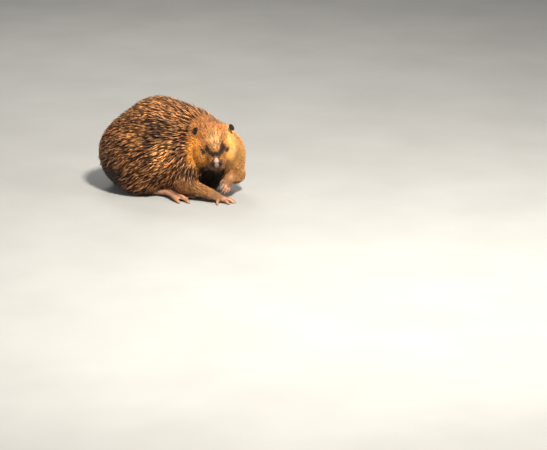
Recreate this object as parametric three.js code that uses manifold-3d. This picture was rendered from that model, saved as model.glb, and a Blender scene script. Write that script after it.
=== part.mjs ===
// A life-size adult beaver, crouched on the ground with its head turned to its right and bowed,
// its left forepaw lifted under the chin and its tail laid on the ground behind it.
// Millimetres, +Z up. The ground is z = 0. The flesh-and-coat envelope is a smooth union of
// ellipsoids and tapered limbs, meshed once and parted with thin cuts. Feet, claws, ears, eyes,
// nose and tail are lofts of their own.
import * as THREE from "three";
import { mergeVertices } from "three/addons/utils/BufferGeometryUtils.js";
import Module from "manifold-3d";

const wasm = await Module();
wasm.setup();

// ---------------------------------------------------------------- driving dimensions
const DEG = Math.PI / 180;
const GAP = 0.3; // between neighbouring nodes
const BODY_YAW = -20 * DEG; // heading of the trunk, from +X
const BODY_AT = [-49, 40]; // middle of the trunk
const HEAD_AT = [151.5, -92, 189.5]; // middle of the skull
const HEAD_YAW = -86.5 * DEG;
const HEAD_PITCH = 31 * DEG; // nose down
const HEAD_ROLL = 5.3 * DEG; // left ear up
const EYE_R = 7.2;
const EYE_LOCAL = [38, 37.5, 17]; // right eye is at -y
const EAR_LOCAL = [-35, 60, 45];
const TAIL_LENGTH = 268;
const TAIL_WIDTH = 116;
const TAIL_THICK = 19;
const TAIL_ROOT = [-176, 226, 17]; // where the bare blade leaves its furred base

// ---------------------------------------------------------------- frames
const add = (p, q) => [p[0] + q[0], p[1] + q[1], p[2] + q[2]];
const sub = (p, q) => [p[0] - q[0], p[1] - q[1], p[2] - q[2]];
const mul = (p, s) => [p[0] * s, p[1] * s, p[2] * s];
const dot = (p, q) => p[0] * q[0] + p[1] * q[1] + p[2] * q[2];
const cross = (p, q) => [
  p[1] * q[2] - p[2] * q[1],
  p[2] * q[0] - p[0] * q[2],
  p[0] * q[1] - p[1] * q[0],
];
const len = (p) => Math.hypot(p[0], p[1], p[2]);
const unit = (p) => mul(p, 1 / len(p));
const mix = (p, q, t) => add(mul(p, 1 - t), mul(q, t));

// A frame from yaw (about +Z), pitch (nose down) and roll (left side up).
function frameOf(at, yaw, pitch = 0, roll = 0) {
  const c = Math.cos(pitch),
    s = Math.sin(pitch);
  const x = [Math.cos(yaw) * c, Math.sin(yaw) * c, -s];
  const z0 = [Math.cos(yaw) * s, Math.sin(yaw) * s, c];
  const y0 = cross(z0, x);
  const y = add(mul(y0, Math.cos(roll)), mul(z0, Math.sin(roll)));
  return { at, x, y, z: cross(x, y) };
}
const toWorld = (f, p) =>
  add(f.at, add(mul(f.x, p[0]), add(mul(f.y, p[1]), mul(f.z, p[2]))));
const BODY = frameOf([...BODY_AT, 0], BODY_YAW);
const HEAD = frameOf(HEAD_AT, HEAD_YAW, HEAD_PITCH, HEAD_ROLL);
const WORLD = frameOf([0, 0, 0], 0);

// Joints and landmarks, in the part's frame.
const ELBOW_R = [46, -92, 56];
const WRIST_R = [140, -130, 26];
const SHOULDER_L = [196, 8, 160];
const ELBOW_L = [226, -12, 66];
const WRIST_L = [204, -96, 74];

// ---------------------------------------------------------------- the envelope
// Each entry: [shape, blend with what comes before it, ...]. An "ell" has a frame, a centre in
// it, radii along its axes, and a pitch of its own; a "cone" has two world points and radii.
const ENVELOPE = [
  ["ell", 0, BODY, [-72, 0, 128], [138, 136, 138], 0], // rump
  ["ell", 48, BODY, [10, 0, 162], [148, 146, 174], 0], // back
  ["ell", 48, BODY, [104, 6, 168], [108, 114, 138], 0], // withers
  ["ell", 30, BODY, [60, 0, 78], [140, 100, 64], 0], // belly
  ["ell", 20, BODY, [-40, -94, 116], [102, 60, 116], -16], // right haunch
  ["ell", 20, BODY, [-40, 94, 116], [102, 60, 116], -16], // left haunch
  ["ell", 24, BODY, [98, -70, 130], [60, 50, 92], 0], // right shoulder
  ["cone", 22, [62, -76, 108], ELBOW_R, 44, 37], // right upper arm
  ["cone", 44, [104, 2, 208], [148, -40, 206], 72, 58], // neck
  ["ell", 34, WORLD, [196, -8, 140], [63, 70, 82], 0], // left side of the neck and shoulder
  ["cone", 24, SHOULDER_L, ELBOW_L, 45, 34], // left upper arm
  ["cone", 30, [120, -36, 112], [156, -50, 112], 60, 48], // chest
  ["ell", 24, WORLD, [128, -12, 61], [50, 50, 60], 0], // breast, down on the ground
  ["ell", 24, WORLD, [214, -44, 142], [40, 50, 62], 0], // left side of the ruff
  ["ell", 40, BODY, [178, 70, 138], [86, 62, 104], 0], // left side, between trunk and shoulder
  ["cone", 30, [-146, 92, 66], [-172, 150, 40], 48, 37], // root of the tail
  ["cone", 10, [-172, 150, 40], TAIL_ROOT, 37, 22], // furred base of the tail
];
const FOREARMS = [
  ["cone", 16, ELBOW_R, WRIST_R, 31, 19], // right
  ["cone", 14, ELBOW_L, WRIST_L, 30, 19], // left
];
const HEAD_SHAPE = [
  ["ell", 0, HEAD, [-24, 0, 8], [60, 60, 50], 0], // cranium
  ["ell", 20, HEAD, [-44, 0, 6], [50, 70, 50], 0], // nape
  ["ell", 24, HEAD, [14, 0, 10], [52, 45, 37], 0], // brow
  ["cone", 18, [28, 0, -2], [60, 0, -10], 38, 27], // muzzle
  ["ell", 20, HEAD, [3, -44, -20], [52, 34, 42], 0], // right cheek
  ["ell", 20, HEAD, [3, 44, -20], [52, 34, 42], 0], // left cheek
  ["cone", 16, [-8, 0, -34], [57, 0, -54], 37, 18], // jaw
  ["cone", 8, [58, -14, -24], [67, -13, -30], 19, 16], // right lip pad
  ["cone", 8, [58, 14, -24], [67, 13, -30], 19, 16], // left lip pad
].map((e) =>
  e[0] === "cone" ? [e[0], e[1], toWorld(HEAD, e[2]), toWorld(HEAD, e[3]), e[4], e[5]] : e
);
const HEAD_BLEND = 22;

function ellipsoid(f, centre, radii, pitchDeg) {
  const c = toWorld(f, centre),
    t = pitchDeg * DEG;
  const ax = add(mul(f.x, Math.cos(t)), mul(f.z, -Math.sin(t)));
  const az = add(mul(f.x, Math.sin(t)), mul(f.z, Math.cos(t)));
  const ay = f.y;
  const [rx, ry, rz] = radii;
  return (p) => {
    const d = sub(p, c);
    const u = dot(d, ax) / rx,
      v = dot(d, ay) / ry,
      w = dot(d, az) / rz;
    const k0 = Math.hypot(u, v, w);
    const k1 = Math.hypot(u / rx, v / ry, w / rz);
    return k1 < 1e-9 ? -Math.min(rx, ry, rz) : (k0 * (k0 - 1)) / k1;
  };
}
function cone(a, b, ra, rb) {
  const ab = sub(b, a),
    l2 = dot(ab, ab);
  return (p) => {
    const t = Math.min(1, Math.max(0, dot(sub(p, a), ab) / l2));
    return len(sub(p, add(a, mul(ab, t)))) - (ra + (rb - ra) * t);
  };
}
const shapeOf = (e) =>
  e[0] === "ell" ? ellipsoid(e[2], e[3], e[4], e[5]) : cone(e[2], e[3], e[4], e[5]);
function smin(a, b, k) {
  if (k <= 0) return Math.min(a, b);
  const h = Math.max(k - Math.abs(a - b), 0) / k;
  return Math.min(a, b) - (h * h * k) / 4;
}
function fieldOf(table) {
  const parts = table.map((e) => [shapeOf(e), e[1]]);
  return (p) => parts.reduce((d, [f, k], i) => (i ? smin(d, f(p), k) : f(p)), 0);
}
const bodyField = fieldOf(ENVELOPE);
const headField = fieldOf(HEAD_SHAPE);
const arms = FOREARMS.map((e) => [shapeOf(e), e[1]]);
const envelope = (p) => arms.reduce((d, [f, k]) => smin(d, f(p), k), smin(bodyField(p), headField(p), HEAD_BLEND));

// ---------------------------------------------------------------- meshing
// Steps along one axis: [to, step] pairs from a start.
function steps(from, ...legs) {
  const out = [from];
  for (const [to, step] of legs) {
    const n = Math.max(1, Math.round((to - out[out.length - 1]) / step)),
      a = out[out.length - 1];
    for (let i = 1; i <= n; i++) out.push(a + ((to - a) * i) / n);
  }
  return out;
}
// Surface nets on a rectilinear grid, each vertex moved onto the true surface.
function meshField(field, xs, ys, zs) {
  const nx = xs.length,
    ny = ys.length,
    nz = zs.length;
  const at = (i, j, k) => (k * ny + j) * nx + i;
  const v = new Float64Array(nx * ny * nz);
  for (let k = 0; k < nz; k++)
    for (let j = 0; j < ny; j++)
      for (let i = 0; i < nx; i++) v[at(i, j, k)] = field([xs[i], ys[j], zs[k]]);
  const index = new Map(),
    pos = [];
  const EDGES = [];
  for (let a = 0; a < 8; a++)
    for (const bit of [1, 2, 4]) if (!(a & bit)) EDGES.push([a, a | bit]);
  const grad = (p) => {
    const e = 0.5;
    return [0, 1, 2].map((m) => {
      const q = [...p],
        r = [...p];
      q[m] += e;
      r[m] -= e;
      return (field(q) - field(r)) / (2 * e);
    });
  };
  for (let k = 0; k < nz - 1; k++)
    for (let j = 0; j < ny - 1; j++)
      for (let i = 0; i < nx - 1; i++) {
        const c = [];
        for (let a = 0; a < 8; a++) c.push(v[at(i + (a & 1), j + ((a >> 1) & 1), k + (a >> 2))]);
        const inside = c.filter((d) => d < 0).length;
        if (!inside || inside === 8) continue;
        let sum = [0, 0, 0],
          n = 0;
        for (const [a, b] of EDGES)
          if (c[a] < 0 !== c[b] < 0) {
            const t = c[a] / (c[a] - c[b]);
            const pa = [xs[i + (a & 1)], ys[j + ((a >> 1) & 1)], zs[k + (a >> 2)]];
            const pb = [xs[i + (b & 1)], ys[j + ((b >> 1) & 1)], zs[k + (b >> 2)]];
            sum = add(sum, mix(pa, pb, t));
            n++;
          }
        let p = mul(sum, 1 / n);
        for (let turn = 0; turn < 3; turn++) {
          const g = grad(p),
            g2 = Math.max(dot(g, g), 0.2);
          p = sub(p, mul(g, field(p) / g2));
        }
        const lo = [xs[i], ys[j], zs[k]],
          hi = [xs[i + 1], ys[j + 1], zs[k + 1]];
        p = p.map((x, m) => Math.min(hi[m] - 0.02 * (hi[m] - lo[m]), Math.max(lo[m] + 0.02 * (hi[m] - lo[m]), x)));
        index.set(at(i, j, k), pos.length / 3);
        pos.push(...p);
      }
  const tris = [];
  const quad = (a, b, c, d, flip) => {
    const [p, q, r, s] = [a, b, c, d].map((n) => index.get(n));
    if ([p, q, r, s].includes(undefined)) throw new Error("the grid doesn't hold the whole shape");
    const P = [p, q, r, s].map((n) => pos.slice(3 * n, 3 * n + 3));
    // the shorter diagonal makes the better pair of triangles
    const short = len(sub(P[0], P[2])) <= len(sub(P[1], P[3]));
    const t = short
      ? [
          [p, q, r],
          [p, r, s],
        ]
      : [
          [p, q, s],
          [q, r, s],
        ];
    for (const [x, y, z] of t) tris.push(...(flip ? [x, z, y] : [x, y, z]));
  };
  for (let k = 0; k < nz; k++)
    for (let j = 0; j < ny; j++)
      for (let i = 0; i < nx; i++) {
        const here = v[at(i, j, k)] < 0;
        if (i + 1 < nx && j && k && v[at(i + 1, j, k)] < 0 !== here)
          quad(at(i, j - 1, k - 1), at(i, j, k - 1), at(i, j, k), at(i, j - 1, k), !here);
        if (j + 1 < ny && i && k && v[at(i, j + 1, k)] < 0 !== here)
          quad(at(i - 1, j, k - 1), at(i - 1, j, k), at(i, j, k), at(i, j, k - 1), !here);
        if (k + 1 < nz && i && j && v[at(i, j, k + 1)] < 0 !== here)
          quad(at(i - 1, j - 1, k), at(i, j - 1, k), at(i, j, k), at(i - 1, j, k), !here);
      }
  const g = new THREE.BufferGeometry();
  g.setAttribute("position", new THREE.Float32BufferAttribute(pos, 3));
  g.setIndex(tris);
  return g;
}

// ---------------------------------------------------------------- solids
function solid(geometry) {
  const g = geometry.clone();
  g.deleteAttribute("normal");
  g.deleteAttribute("uv");
  const m = mergeVertices(g, 1e-3);
  const tv = [];
  const src = m.index.array;
  for (let i = 0; i < src.length; i += 3)
    if (src[i] !== src[i + 1] && src[i + 1] !== src[i + 2] && src[i] !== src[i + 2])
      tv.push(src[i], src[i + 1], src[i + 2]);
  let s = new wasm.Manifold(
    new wasm.Mesh({
      numProp: 3,
      vertProperties: m.attributes.position.array,
      triVerts: new Uint32Array(tv),
    })
  );
  if (s.volume() < 0) {
    for (let i = 0; i < tv.length; i += 3) [tv[i + 1], tv[i + 2]] = [tv[i + 2], tv[i + 1]];
    s = new wasm.Manifold(
      new wasm.Mesh({
        numProp: 3,
        vertProperties: m.attributes.position.array,
        triVerts: new Uint32Array(tv),
      })
    );
  }
  return s;
}
function geometryOf(s) {
  const m = s.getMesh(),
    n = m.numProp,
    v = new Float32Array(m.numVert * 3);
  for (let i = 0; i < m.numVert; i++) v.set(m.vertProperties.subarray(i * n, i * n + 3), i * 3);
  const g = new THREE.BufferGeometry();
  g.setAttribute("position", new THREE.BufferAttribute(v, 3));
  g.setIndex(new THREE.BufferAttribute(new Uint32Array(m.triVerts), 1));
  return g;
}
function largest(s) {
  return s.decompose().sort((a, b) => b.volume() - a.volume())[0];
}
// A box in a frame, from its low to its high corner.
function boxIn(f, lo, hi, grow = 0) {
  const g = new THREE.BoxGeometry(hi[0] - lo[0] + 2 * grow, hi[1] - lo[1] + 2 * grow, hi[2] - lo[2] + 2 * grow);
  const c = toWorld(f, mix(lo, hi, 0.5));
  g.applyMatrix4(
    new THREE.Matrix4().makeBasis(new THREE.Vector3(...f.x), new THREE.Vector3(...f.y), new THREE.Vector3(...f.z)).setPosition(...c)
  );
  return solid(g);
}
// An ellipsoid in a frame, as a cutter.
function ballIn(f, centre, radii, grow = 0, around = 16, along = 9) {
  const g = new THREE.SphereGeometry(1, around, along);
  g.scale(radii[0] + grow, radii[1] + grow, radii[2] + grow);
  g.applyMatrix4(
    new THREE.Matrix4()
      .makeBasis(new THREE.Vector3(...f.x), new THREE.Vector3(...f.y), new THREE.Vector3(...f.z))
      .setPosition(...toWorld(f, centre))
  );
  return solid(g);
}
// A closed loft: rings of `sides` points round a path. radii(t) gives [across, up]; up is a hint.
function loft(points, radii, sides, rings, up = [0, 0, 1], grow = 0) {
  const curve = new THREE.CatmullRomCurve3(points.map((p) => new THREE.Vector3(...p)));
  const pos = [],
    tris = [];
  for (let i = 0; i <= rings; i++) {
    const t = i / rings;
    const c = curve.getPoint(t).toArray(),
      d = curve.getTangent(t).toArray();
    const side = unit(cross(d, up)),
      top = unit(cross(side, d));
    const [rw, rh] = radii(t).map((r) => r + grow);
    for (let j = 0; j < sides; j++) {
      const a = (2 * Math.PI * (j + 0.5)) / sides;
      pos.push(...add(c, add(mul(side, rw * Math.cos(a)), mul(top, rh * Math.sin(a)))));
    }
  }
  const ringAt = (i, j) => i * sides + (j % sides);
  for (let i = 0; i < rings; i++)
    for (let j = 0; j < sides; j++) {
      const a = ringAt(i, j),
        b = ringAt(i, j + 1),
        c = ringAt(i + 1, j + 1),
        d = ringAt(i + 1, j);
      tris.push(a, b, c, a, c, d);
    }
  for (const [i, t, sign] of [
    [0, 0, -1],
    [rings, 1, 1],
  ]) {
    const c = curve.getPoint(t).toArray(),
      d = curve.getTangent(t).toArray();
    const bulge = 0.45 * Math.min(...radii(t)) + grow;
    const n = pos.length / 3;
    pos.push(...add(c, mul(d, sign * bulge)));
    for (let j = 0; j < sides; j++)
      tris.push(...(sign < 0 ? [n, ringAt(i, j + 1), ringAt(i, j)] : [n, ringAt(i, j), ringAt(i, j + 1)]));
  }
  const g = new THREE.BufferGeometry();
  g.setAttribute("position", new THREE.Float32BufferAttribute(pos, 3));
  g.setIndex(tris);
  return g;
}
// A thin sheet P(s, t) thickened up and down.
function sheet(P, ns, nt, thick) {
  const pos = [],
    tris = [];
  const row = (nt + 1) * 2;
  for (let i = 0; i <= ns; i++)
    for (let j = 0; j <= nt; j++) {
      const p = P(i / ns, j / nt);
      pos.push(p[0], p[1], p[2] + thick / 2, p[0], p[1], p[2] - thick / 2);
    }
  const top = (i, j) => i * row + 2 * j,
    low = (i, j) => i * row + 2 * j + 1;
  for (let i = 0; i < ns; i++)
    for (let j = 0; j < nt; j++) {
      tris.push(top(i, j), top(i + 1, j), top(i + 1, j + 1), top(i, j), top(i + 1, j + 1), top(i, j + 1));
      tris.push(low(i, j), low(i + 1, j + 1), low(i + 1, j), low(i, j), low(i, j + 1), low(i + 1, j + 1));
    }
  const wall = (a, b) => tris.push(top(...a), low(...b), low(...a), top(...a), top(...b), low(...b));
  for (let i = 0; i < ns; i++) {
    wall([i + 1, 0], [i, 0]);
    wall([i, nt], [i + 1, nt]);
  }
  for (let j = 0; j < nt; j++) {
    wall([0, j], [0, j + 1]);
    wall([ns, j + 1], [ns, j]);
  }
  const g = new THREE.BufferGeometry();
  g.setAttribute("position", new THREE.Float32BufferAttribute(pos, 3));
  g.setIndex(tris);
  return g;
}

// ---------------------------------------------------------------- materials
const paint = (hex, roughness) => new THREE.MeshStandardMaterial({ color: hex, roughness, metalness: 0 });
const FUR = paint(0x7d4a2a, 0.9);
const FACE = paint(0xb0713a, 0.9);
const SKIN = paint(0x8a6254, 0.6);
const DARK = paint(0x2a1c18, 0.8);
const SCALE = paint(0x3d342f, 0.7);
const HORN = paint(0xb8a48c, 0.4);
const EYE = paint(0x0d0a08, 0.1);

const group = new THREE.Group();
const made = new Map();
function node(name, s, material) {
  const whole = largest(s);
  made.set(name, whole);
  const m = new THREE.Mesh(geometryOf(whole), material);
  m.name = name;
  group.add(m);
}

// ---------------------------------------------------------------- flesh, parted with thin cuts
const FLOOR = boxIn(WORLD, [-600, -600, 0], [600, 700, 600]);
// The envelope inside a box, meshed at one step, and cut flat at the ground.
function flesh(lo, hi, step, field = envelope) {
  const mid = mix(lo, hi, 0.5),
    half = mul(sub(hi, lo), 0.5);
  const inBox = (p) => Math.max(...[0, 1, 2].map((m) => Math.abs(p[m] - mid[m]) - half[m]));
  const axis = (m) => steps(lo[m] - 1.3 * step, [hi[m] + 1.3 * step, step]);
  return solid(meshField((p) => Math.max(field(p), inBox(p)), axis(0), axis(1), axis(2))).intersect(FLOOR);
}
const taken = []; // cutters, grown by the gap
function part(name, step, cutter, material, field = envelope) {
  const c = cutter(0),
    b = c.boundingBox(),
    m = 2.5 * step;
  const lo = b.min.map((x) => x - m),
    hi = b.max.map((x) => x + m);
  lo[2] = Math.max(lo[2], -24);
  let piece = flesh(lo, hi, step, field).intersect(c);
  for (const t of taken) piece = piece.subtract(t);
  taken.push(cutter(GAP));
  node(name, piece, material);
}

// Eyes, nose pad and ears come first, because the head gives way to them.
const EYE_PROUD = 2.6; // how far the ball stands out of the face
const eyeAt = (side) => {
  let p = toWorld(HEAD, [EYE_LOCAL[0], side * EYE_LOCAL[1], EYE_LOCAL[2]]);
  const out = add(mul(HEAD.y, side * 0.75), mul(HEAD.z, 0.66));
  for (let i = 0; i < 8; i++) p = sub(p, mul(out, headField(p) + EYE_R - EYE_PROUD));
  return p;
};
for (const [side, tag] of [
  [-1, "r"],
  [1, "l"],
]) {
  const ball = (grow) => ballIn({ ...HEAD, at: eyeAt(side) }, [0, 0, 0], [EYE_R, EYE_R, EYE_R], grow, 10, 6);
  taken.push(ball(GAP));
  node("eye_" + tag, ball(0), EYE);
}
const noseRadii = (t) => {
  const w = Math.sin(Math.PI * (0.12 + 0.76 * t));
  return [18.5 * Math.sqrt(w), 10 * Math.sqrt(w)];
};
const nosePad = (grow) =>
  solid(loft([[75, 0, 10], [83, 0, 0], [82, 0, -11]].map((p) => toWorld(HEAD, p)), noseRadii, 10, 5, HEAD.x, grow));
taken.push(nosePad(GAP));
node("nose", nosePad(0), DARK);
// A rounded ear, its open face turned forward, up and out.
function ear(side, grow) {
  const [x, y, z] = EAR_LOCAL;
  const out = [-0.42, side * 0.9, -0.13];
  const at = (d) => toWorld(HEAD, add([x, side * y, z], mul(out, d)));
  const face = add(add(mul(HEAD.x, 0.5), mul(HEAD.y, side * 0.35)), mul(HEAD.z, 0.8));
  const radii = (t) => [7 + 6.5 * Math.sin(Math.PI * (0.1 + 0.8 * t)), 3.6];
  return solid(loft([at(-14), at(-1), at(13)], radii, 8, 4, face, grow));
}
for (const [side, tag] of [
  [-1, "r"],
  [1, "l"],
]) {
  taken.push(ear(side, GAP));
  node("ear_" + tag, ear(side, 0), DARK);
}

// ---------------------------------------------------------------- feet
const HIND_R = [ // toe 1 (inner) to toe 5 (outer), from the instep to the claw's root
  [[-8, -34, 15], [20, -35, 13], [42, -38, 8], [56, -40, 4.4]],
  [[-6, -42, 21], [26, -48, 19], [52, -54, 12], [72, -57, 5]],
  [[-4, -52, 24], [25, -68, 23], [55, -84, 16], [75, -91, 6]],
  [[-10, -60, 22], [16, -88, 21], [42, -121, 13], [57, -143, 5]],
  [[-20, -66, 18], [-1, -98, 17], [14, -128, 11], [24, -144, 5]],
];
const INSTEP_R = [[-64, -18, 17], [-36, -40, 18], [-6, -56, 15]];
const FORE_R = [ // digit 1 (inner) to 5 (outer)
  [[166, -120, 11], [178, -114, 8], [186, -111, 4]],
  [[180, -130, 13], [202, -135, 11], [214, -139, 4.4]],
  [[180, -138, 13], [199, -146, 11], [211, -151, 4.4]],
  [[174, -146, 12], [188, -158, 10], [195, -165, 4.4]],
  [[160, -144, 12], [158, -162, 10], [157, -171, 4.2]],
];
const FORE_L = [ // the lifted paw, its digits hanging
  [[188, -108, 74], [179, -110, 70], [173, -112, 65]],
  [[190, -116, 70], [180, -126, 60], [174, -129, 51]],
  [[194, -118, 64], [185, -129, 51], [179, -132, 42]],
  [[199, -117, 59], [192, -127, 46], [187, -130, 37]],
  [[203, -112, 57], [200, -121, 45], [197, -124, 37]],
];
// The same point on the other side of the body's middle plane, moved back along it.
const acrossBody = (p, back) => {
  const d = sub(p, BODY.at);
  return toWorld(BODY, [dot(d, BODY.x) - back, -dot(d, BODY.y), dot(d, BODY.z)]);
};
const LEFT_BACK = 30;
const HIND_L = HIND_R.map((toe) => toe.map((p) => acrossBody(p, LEFT_BACK)));
const INSTEP_L = INSTEP_R.map((p) => acrossBody(p, LEFT_BACK));

// A frame at a, its x running towards b.
function frameAlong(a, b, up = [0, 0, 1]) {
  const x = unit(sub(b, a)),
    y = unit(cross(up, x));
  return { at: a, x, y, z: cross(x, y) };
}
function clawOf(toe, length, drop, r, grow = 0) {
  const n = toe.length,
    d = unit(sub(toe[n - 1], toe[n - 2]));
  const tip = add(toe[n - 1], mul(d, length));
  tip[2] = Math.max(1.6, tip[2] + drop);
  const mid = add(toe[n - 1], mul(d, length * 0.5));
  mid[2] = Math.max(mid[2] + 0.9, r + 0.4);
  const path = [sub(toe[n - 1], mul(d, 3)), mid, tip];
  return solid(loft(path, (t) => [r * (1 - 0.72 * t), r * 1.1 * (1 - 0.72 * t)], 5, 2, [0, 0, 1], grow)).intersect(FLOOR);
}
// Palm or instep, toes and webs in one piece, cut flat at the ground.
function footSolid(f, grow = 0) {
  let s = solid(loft(f.base, f.baseRadii, 8, 2, [0, 0, 1], grow));
  f.toes.forEach((toe, i) => {
    const k = f.r[i];
    s = s.add(solid(loft(toe, (t) => [k * (1.34 - 0.36 * t), k * (1.38 - 0.36 * t)], 4, 2, [0, 0, 1], grow)));
  });
  if (f.webs)
    for (let i = 0; i + 1 < f.toes.length; i++) {
      const [a, b] = [f.toes[i], f.toes[i + 1]].map((t) => new THREE.CatmullRomCurve3(t.map((p) => new THREE.Vector3(...p))));
      const P = (u, v) => {
        const w = 0.1 + u * (0.86 - f.webs[i] * 4 * v * (1 - v));
        const p = mix(a.getPoint(w).toArray(), b.getPoint(w).toArray(), v);
        return [p[0], p[1], Math.max(1.9, p[2] - 1.5)];
      };
      s = s.add(solid(sheet(P, 2, 1, 3.2 + 2 * grow)));
    }
  return s.intersect(FLOOR);
}
function foot(name, f) {
  let s = footSolid(f, 0);
  if (f.keep) s = s.intersect(f.keep);
  f.toes.forEach((toe, i) => {
    const c = (g) => clawOf(toe, f.clawLength[i], -1.5, f.clawR, g);
    s = s.subtract(c(GAP));
    node(`${name.replace("foot", "claw")}_${i + 1}`, c(0), HORN);
  });
  node(name, s, SKIN);
}

for (const [tag, base, toes] of [
  ["r", INSTEP_R, HIND_R],
  ["l", INSTEP_L, HIND_L],
]) {
  const f = {
    base,
    baseRadii: (t) => [19 + 5 * t, 20 - 6 * t],
    toes,
    r: [6, 6.8, 7.2, 7.2, 6.6],
    clawLength: [10, 12, 13, 13, 11],
    clawR: 3.2,
    webs: [0.3, 0.22, 0.16, 0.34],
  };
  foot("hindfoot_" + tag, f);
  // the body gives way to the foot: one arch over instep and toes
  const arch = [mix(base[0], base[1], -0.2), base[2], mix(toes[2][1], toes[3][1], 0.4), mix(toes[2][3], toes[3][3], 0.4)];
  taken.push(solid(loft(arch.map((p) => [p[0], p[1], 12]), (t) => [27 + 48 * t, 32 - 8 * t], 8, 3, [0, 0, 1], GAP)));
}

// ---------------------------------------------------------------- head, limbs and trunk
const noArms = (p) => smin(bodyField(p), headField(p), HEAD_BLEND);
part("head", 13, (g) => ballIn(HEAD, [4, 0, -10], [102, 92, 92], g, 12, 7), FACE, noArms);

// The cuffs: each forearm ends in a plane across the wrist, where the bare paw begins.
const armR = frameAlong(ELBOW_R, WRIST_R),
  armL = frameAlong(ELBOW_L, WRIST_L);
const CUFF_R = len(sub(WRIST_R, ELBOW_R)) + 4,
  CUFF_L = len(sub(WRIST_L, ELBOW_L)) + 4;
const armCut = (f, l, back, r) => (g) => {
  const axis = [-back, l * 0.5, l + 40].map((x) => toWorld(f, [x, 0, 0]));
  return solid(loft(axis, () => [r, r], 8, 2, [0, 0, 1], g)).intersect(boxIn(f, [-90, -90, -90], [l, 90, 90], g));
};
part("forearm_l", 15, armCut(armL, CUFF_L, 12, 41), FUR);
part("upper_arm_l", 25, (g) => ballIn(WORLD, [218, 2, 104], [70, 90, 98], g, 12, 7), FUR);
part("forearm_r", 15, armCut(armR, CUFF_R, 7, 43), FUR);
part("upper_arm_r", 24, (g) => ballIn(BODY, [96, -92, 106], [74, 46, 96], g, 12, 7), FUR);
part("neck", 28, (g) => ballIn(BODY, [214, -10, 196], [98, 112, 104], g, 12, 7), FUR);

const pawBeyond = (f, l) => boxIn(f, [l + GAP, -90, -90], [l + 160, 90, 90]);
foot("forefoot_r", {
  base: [toWorld(armR, [CUFF_R - 6, 0, 0]), [164, -135, 14], [180, -140, 9.5]],
  baseRadii: (t) => [15.5 + 4.5 * t, 15 - 4 * t],
  toes: FORE_R,
  r: [5, 5.6, 5.8, 5.6, 5.2],
  clawLength: [9, 12, 13, 12, 11],
  clawR: 2.6,
  keep: pawBeyond(armR, CUFF_R),
});
foot("forefoot_l", {
  base: [toWorld(armL, [CUFF_L - 6, 0, 0]), [197, -111, 68], [195, -117, 63]],
  baseRadii: (t) => [15 + 2 * t, 14 - 3 * t],
  toes: FORE_L,
  r: [5, 5.6, 5.8, 5.6, 5.2],
  clawLength: [8, 10, 11, 10, 9],
  clawR: 2.6,
  keep: pawBeyond(armL, CUFF_L),
});
part("haunch_r", 30, (g) => ballIn(BODY, [-40, -104, 104], [116, 70, 128], g, 14, 7), FUR);
part("haunch_l", 30, (g) => ballIn(BODY, [-41, 105, 105], [117, 71, 128], g, 14, 7), FUR);

// ---------------------------------------------------------------- tail
// The blade is an oval paddle, lying flat.
const bladeWidth = (t) => 24 + (TAIL_WIDTH / 2 - 24) * Math.sin((Math.PI / 2) * Math.min(1, t / 0.42));
function blade(grow) {
  const end = (t) => Math.sqrt(Math.max(0.02, 1 - Math.max(0, (t - 0.62) / 0.38) ** 2));
  const [x, y] = TAIL_ROOT;
  const path = [0, 0.35, 0.7, 1].map((t) => [x + 4 * t, y - 16 + (TAIL_LENGTH + 10) * t, TAIL_THICK / 2 - 2.6 * t]);
  return solid(
    loft(path, (t) => [bladeWidth(t) * end(t), (TAIL_THICK / 2 + 1 - 3.4 * t) * Math.sqrt(end(t))], 10, 9, [0, 0, 1], grow)
  ).intersect(FLOOR);
}
taken.push(blade(GAP));
node("tail", blade(0), SCALE);
part("tail_base", 20, (g) => solid(loft([[-160, 128, 52], [-174, 190, 34], [-177, 270, 22]], () => [56, 60], 8, 2, [0, 0, 1], g)), FUR);
let trunk = flesh([-262, -172, -24], [290, 215, 366], 38);
for (const t of taken) trunk = trunk.subtract(t);
node("trunk", trunk, FUR);

// ---------------------------------------------------------------- put it on its origin
const box = new THREE.Box3().setFromObject(group);
group.position.set(-(box.min.x + box.max.x) / 2, -(box.min.y + box.max.y) / 2, -box.min.z);

export default group;
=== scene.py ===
"""A life-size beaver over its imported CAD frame: one skin, a solid-mesh coat, face, feet and tail."""
import math

import bpy
import numpy as np
from mathutils import Matrix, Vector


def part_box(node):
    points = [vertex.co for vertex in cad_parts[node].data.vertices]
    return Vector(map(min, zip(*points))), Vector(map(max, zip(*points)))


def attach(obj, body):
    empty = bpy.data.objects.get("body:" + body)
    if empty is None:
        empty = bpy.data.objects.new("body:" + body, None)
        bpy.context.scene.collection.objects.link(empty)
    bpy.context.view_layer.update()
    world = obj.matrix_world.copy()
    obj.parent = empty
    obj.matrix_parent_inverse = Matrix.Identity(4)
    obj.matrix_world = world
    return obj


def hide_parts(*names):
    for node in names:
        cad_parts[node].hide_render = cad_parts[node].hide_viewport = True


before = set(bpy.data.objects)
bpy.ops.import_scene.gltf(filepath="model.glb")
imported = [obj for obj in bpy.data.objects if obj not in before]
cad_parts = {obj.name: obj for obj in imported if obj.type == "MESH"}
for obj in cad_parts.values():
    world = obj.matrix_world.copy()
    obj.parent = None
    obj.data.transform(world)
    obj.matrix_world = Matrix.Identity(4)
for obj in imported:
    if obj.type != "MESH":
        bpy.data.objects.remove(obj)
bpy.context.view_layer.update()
DEG = math.pi / 180
F = np.float32

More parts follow.
